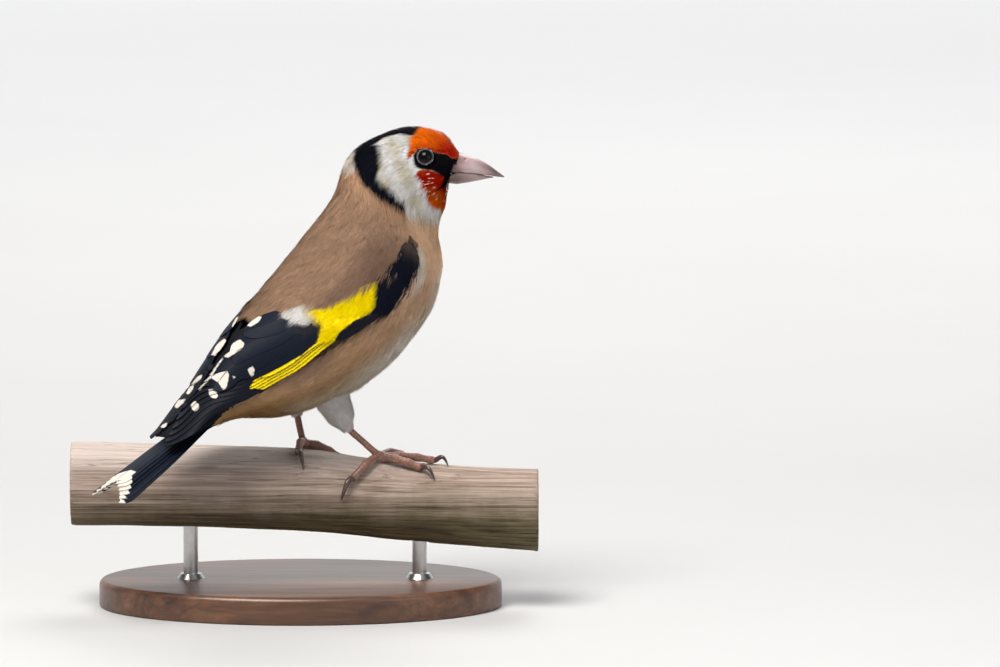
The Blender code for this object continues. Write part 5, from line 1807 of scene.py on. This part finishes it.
def make_leg(side, scale_look, claw_look):
    """The skin of one leg in one piece, with scutes and toe pads, and its four claws."""
    ankle, foot, toes = LEGS[side]
    joint = perch_points(np.array([foot[0]]), np.array([foot[1]]), FOOT_LIFT + 0.2)[0]
    ankle = np.array(ankle)
    s = np.linspace(0, 1, 24)
    start = ankle + (ankle - joint) / np.linalg.norm(ankle - joint) * 0.6
    shank = start + (joint - start) * s[:, None]
    lines = [(shank, SHANK_RADIUS * (1.0 + 0.35 * bell(s, 1, 0.12) + 0.3 * bell(s, 0, 0.1)))]
    for number, (end_x, end_angle, *_) in enumerate(toes):
        knuckles = (0.36, 0.7) if number else (0.5,)
        radii = TOE_RADIUS * (1.04 - 0.1 * s)
        for knuckle in knuckles:
            radii = radii + TOE_RADIUS * 0.24 * bell(s, knuckle, 0.07)
        radii = radii + TOE_RADIUS * 0.2 * bell(s, 0.94, 0.06)
        lines.append((toe_points(foot, end_x, end_angle, s), radii))
    bm = bmesh.new()
    for points, radii in lines:
        tube(bm, points, radii)
    bmesh.ops.create_uvsphere(
        bm, u_segments=20, v_segments=12, radius=1.25 * MM, matrix=Matrix.Translation(Vector(joint) * MM),
    )
    skin = bmesh_object("leg_skin_" + side, bm)
    refined(skin, 0.12, 2)
    co = vertex_array(skin.data) / MM
    normals = vertex_normals(skin.data)
    samples, lengths, ups = [], [], []
    for points, _ in lines:
        travelled = np.concatenate(([0], np.cumsum(np.linalg.norm(np.diff(points, axis=0), axis=1))))
        fine = np.linspace(0, travelled[-1], 80)
        spots = np.stack([np.interp(fine, travelled, points[:, k]) for k in range(3)], axis=1)
        along = np.gradient(spots, axis=0)
        along /= np.linalg.norm(along, axis=1)[:, None]
        outward = np.array((0.0, 0.0, 1.0)) if len(samples) else np.array((0.75, -0.5, 0.3))
        up = outward - along * (along @ outward)[:, None]
        samples.append(spots)
        lengths.append(fine + 0.2 * len(lengths))
        ups.append(up / np.linalg.norm(up, axis=1)[:, None])
    samples, lengths, ups = (np.concatenate(part) for part in (samples, lengths, ups))
    nearest = nearest_of(samples, co)
    above = smooth((normals * ups[nearest]).sum(1), -0.15, 0.45)
    wave = np.abs(np.sin(math.pi * lengths[nearest] / SCUTE_LENGTH))
    scute = np.minimum(wave * 2.2, 1.0) * above
    pebble = wavy((co[:, 0], co[:, 1], co[:, 2]), 0.16, 33) * (1 - above)
    co += normals * (0.07 * scute + 0.035 * pebble - 0.03)[:, None]
    skin.data.vertices.foreach_set("co", (co * MM).ravel())
    blotch = wavy((co[:, 0], co[:, 1], co[:, 2]), 0.9, 34)
    colours = np.tile(LEG_PINK, (len(co), 1)) * (1 + 0.12 * blotch)[:, None]
    seams = (1 - np.minimum(wave * 2.2, 1.0)) * above
    colours = blend_in(colours, LEG_SEAM, np.clip(seams, 0, 1) * 0.8)
    colours = blend_in(colours, LEG_PALE, (1 - above) * (0.35 + 0.15 * pebble))
    set_tint(skin.data, colours)
    skin.data.materials.append(scale_look)
    link(skin, "leg_skin", "shank_" + side, "foot_" + side)
    for number, (end_x, end_angle, *claw) in enumerate(toes, 1):
        s = np.linspace(0, 1, 22)
        points = claw_points(end_x, end_angle, *claw, s)
        back = toe_points((foot[0], foot[1]), end_x, end_angle, np.array([0.93]))
        points = np.concatenate((back, points))
        thick = HIND_CLAW_RADIUS if number == 1 else CLAW_RADIUS
        radii = np.concatenate(([0.45], thick * (1 - s) ** 0.62 + 0.05))
        bm = bmesh.new()
        tube(bm, points, radii, 16)
        node = "claw_%s_%d" % (side, number)
        link(bmesh_object(node + "_horn", bm, claw_look), "claw", node)


def make_wood_look():
    """Weathered grey-tan wood with long cracks, darker and green underneath, and painted paler along the top
    as painted light.
    """
    look, graph, shader = new_look("weathered_wood", Roughness=0.85, Specular_IOR_Level=0.25)
    vector = object_vector(graph)
    parts = graph.add("ShaderNodeSeparateXYZ", {"Vector": vector})
    fibre = grouped(graph, FIBRE, {"Vector": vector, "Scale": 1300.0, "Stretch": 0.018})
    colour = graph.ramp(fibre["Value"], (
        (0.3, srgb(116, 100, 88)), (0.45, srgb(150, 133, 120)),
        (0.58, srgb(170, 155, 144)), (0.75, srgb(190, 177, 166)),
    ))
    mottle = grouped(graph, MOTTLE, {"Vector": vector, "Scale": 90.0})
    rosy = graph.ramp(mottle["Value"], ((0.35, (0.9, 0.86, 0.84)), (0.65, (1.04, 1.0, 0.98))))
    colour = graph.mix(1.0, colour, rosy, "MULTIPLY")
    uneven = graph.math("SUBTRACT", mottle["Value"], 0.5)
    height = graph.math("MULTIPLY_ADD", uneven, 9.0 * MM, parts.outputs["Z"])
    low = graph.remap(height, 19.5 * MM, 27.5 * MM, 1.0, 0.0)
    # Painted light: the top of the branch is made paler, as where light falls on it
    painted_top_light = graph.remap(parts.outputs["Z"], 29.5 * MM, 33.5 * MM, 0.0, 0.55)
    colour = graph.mix(painted_top_light, colour, srgb(212, 200, 192))
    green = graph.ramp(fibre["Value"], ((0.35, srgb(40, 36, 16)), (0.65, srgb(102, 94, 56))))
    colour = graph.mix(graph.math("MULTIPLY", low, 0.85), colour, green)
    colour = graph.mix(graph.math("MULTIPLY", fibre["Crack"], 0.5), colour, srgb(70, 52, 42))
    graph.join(colour, shader.inputs["Base Color"])
    bumped(graph, shader, fibre["Height"], 0.12, 0.8)
    return look


def make_branch(look):
    """The cut length of branch with its grain raised."""
    branch = joined_copy("branch", ("perch",))
    refined(branch, 0.5, 4)
    bm = bmesh.new()
    bm.from_mesh(branch.data)
    for vert in bm.verts:
        x, y, z = (c / MM for c in vert.co)
        grain = noise.fractal(Vector((x * 0.035, y * 0.55, z * 0.55)), 0.9, 2.1, 5)
        lump = noise.noise(Vector((x * 0.05, y * 0.12, z * 0.12)))
        end = min(x - PERCH_STATIONS[0][0], PERCH_STATIONS[-1][0] - x)
        flat = 0.2 if end < 0.7 else 1.0
        vert.co += vert.normal * ((0.16 * grain + 0.25 * lump) * flat * MM)
    bm.to_mesh(branch.data)
    bm.free()
    branch.data.materials.append(look)
    link(branch, "branch", "perch")


def make_base_look():
    """Oiled walnut."""
    look, graph, shader = new_look("oiled_walnut", Roughness=0.38, Coat_Weight=0.2, Coat_Roughness=0.25)
    vector = object_vector(graph)
    fibre = grouped(graph, FIBRE, {"Vector": vector, "Scale": 260.0, "Stretch": 0.07})
    colour = graph.ramp(fibre["Value"], (
        (0.3, srgb(58, 36, 24)), (0.5, srgb(92, 60, 40)), (0.7, srgb(122, 84, 58)),
    ))
    colour = graph.mix(graph.math("MULTIPLY", fibre["Crack"], 0.35), colour, srgb(36, 22, 15))
    graph.join(colour, shader.inputs["Base Color"])
    bumped(graph, shader, fibre["Height"], 0.03, 0.3)
    return look


def make_metal_look():
    """Brushed steel."""
    look, graph, shader, mottle = mottled_look(
        "brushed_steel", 400.0, (0.3, (0.5, 0.49, 0.48)), (0.7, (0.62, 0.61, 0.6)),
        Metallic=1.0, Roughness=0.3,
    )
    rough = graph.math("MULTIPLY_ADD", mottle["Height"], 0.12, 0.24)
    graph.join(rough, shader.inputs["Roughness"])
    return look


# Height of the base's top, radius of the rods, and radii and height of their collars
BASE_TOP = 6.0
ROD_RADIUS = 1.6
COLLAR_FOOT = 3.0
COLLAR_HEAD = 2.3
COLLAR_HEIGHT = 1.1


def make_stand(wood_look, metal_look):
    """The oval base with a rounded edge, and two rods with collars."""
    low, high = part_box("stand_base")
    bm = bmesh.new()
    ring = bmesh.ops.create_circle(bm, segments=160, radius=1.0, cap_ends=True)
    face = bm.faces[:]
    bmesh.ops.scale(bm, vec=((high.x - low.x) / 2, (high.y - low.y) / 2, 1.0), verts=ring["verts"])
    moved = bmesh.ops.extrude_face_region(bm, geom=face)
    top = [item for item in moved["geom"] if isinstance(item, bmesh.types.BMVert)]
    bmesh.ops.translate(bm, verts=top, vec=(0, 0, high.z))
    bmesh.ops.recalc_face_normals(bm, faces=bm.faces)
    rim = [
        edge for edge in bm.edges
        if abs(edge.verts[0].co.z - edge.verts[1].co.z) < 1e-7 and len(edge.link_faces) == 2
    ]
    upper = [edge for edge in rim if edge.verts[0].co.z > high.z / 2]
    lower = [edge for edge in rim if edge.verts[0].co.z <= high.z / 2]
    bmesh.ops.bevel(bm, geom=upper, offset=1.3 * MM, segments=6, profile=0.5, affect="EDGES", material=-1)
    bmesh.ops.bevel(bm, geom=lower, offset=0.5 * MM, segments=3, profile=0.5, affect="EDGES", material=-1)
    base = bmesh_object("base_board", bm, wood_look)
    base.data.set_sharp_from_angle(angle=math.radians(35))
    link(base, "stand_wood", "stand_base")
    for side in ("left", "right"):
        low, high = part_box("stand_rod_" + side)
        centre = ((low.x + high.x) / 2, (low.y + high.y) / 2)
        bm = bmesh.new()
        rod = bmesh.ops.create_cone(
            bm, segments=48, radius1=ROD_RADIUS * MM, radius2=ROD_RADIUS * MM, depth=high.z - low.z,
            cap_ends=True,
        )["verts"]
        bmesh.ops.translate(bm, verts=rod, vec=(*centre, (low.z + high.z) / 2))
        collar = bmesh.ops.create_cone(
            bm, segments=48, radius1=COLLAR_FOOT * MM, radius2=COLLAR_HEAD * MM,
            depth=COLLAR_HEIGHT * MM, cap_ends=True,
        )["verts"]
        bmesh.ops.translate(bm, verts=collar, vec=(*centre, (BASE_TOP + COLLAR_HEIGHT / 2) * MM))
        piece = bmesh_object("rod_" + side, bm, metal_look)
        piece.data.set_sharp_from_angle(angle=math.radians(35))
        link(piece, "stand_metal", "stand_rod_" + side)


def make_eye_look():
    """A very dark brown eye with a clear wet surface."""
    return mottled_look(
        "dark_eye", 900.0, (0.35, (0.001, 0.001, 0.0015)), (0.65, (0.004, 0.003, 0.003)),
        Roughness=0.3, Coat_Weight=1.0, Coat_Roughness=0.09, Coat_IOR=1.24, Specular_IOR_Level=0.0,
    )[0]


def make_lid_look():
    """Black lids with pale beads on their outer rim."""
    return tinted_look("lid_skin", 1600.0, 0.3, Roughness=0.45)


make_camera()
make_floor()
make_light()

feather_look = tinted_look(
    "soft_feathers", 900.0, 0.12, Roughness=0.62, Specular_IOR_Level=0.03,
)
skin_look = tinted_look("skin_down", 900.0, 0.3, Roughness=0.8, Specular_IOR_Level=0.2)
vane_look = make_vane_look()

make_skin(skin_look)
make_coat(feather_look)
for side, side_name in ((-1, "right"), (1, "left")):
    make_wing(side, "wing_feathers_" + side_name, vane_look, "wing_" + side_name)
    make_arm(side, "wing_arm_" + side_name, skin_look)
    make_coverts(side, "wing_coverts_" + side_name, feather_look)
make_tail(vane_look)
thigh_coat("thigh_coat_right", feather_look, RIGHT_HIP, RIGHT_ANKLE, 0.25, 60)
thigh_coat("thigh_coat_left", feather_look, LEFT_HIP, LEFT_ANKLE, 0.02, 61)
eye_look, lid_look = make_eye_look(), make_lid_look()
make_eye(-1, "right", eye_look, lid_look)
make_eye(1, "left", eye_look, lid_look)
make_bill(make_bill_look())
scale_look, claw_look = make_scale_look(), make_claw_look()
for side_name in ("right", "left"):
    make_leg(side_name, scale_look, claw_look)
make_branch(make_wood_look())
make_stand(make_base_look(), make_metal_look())
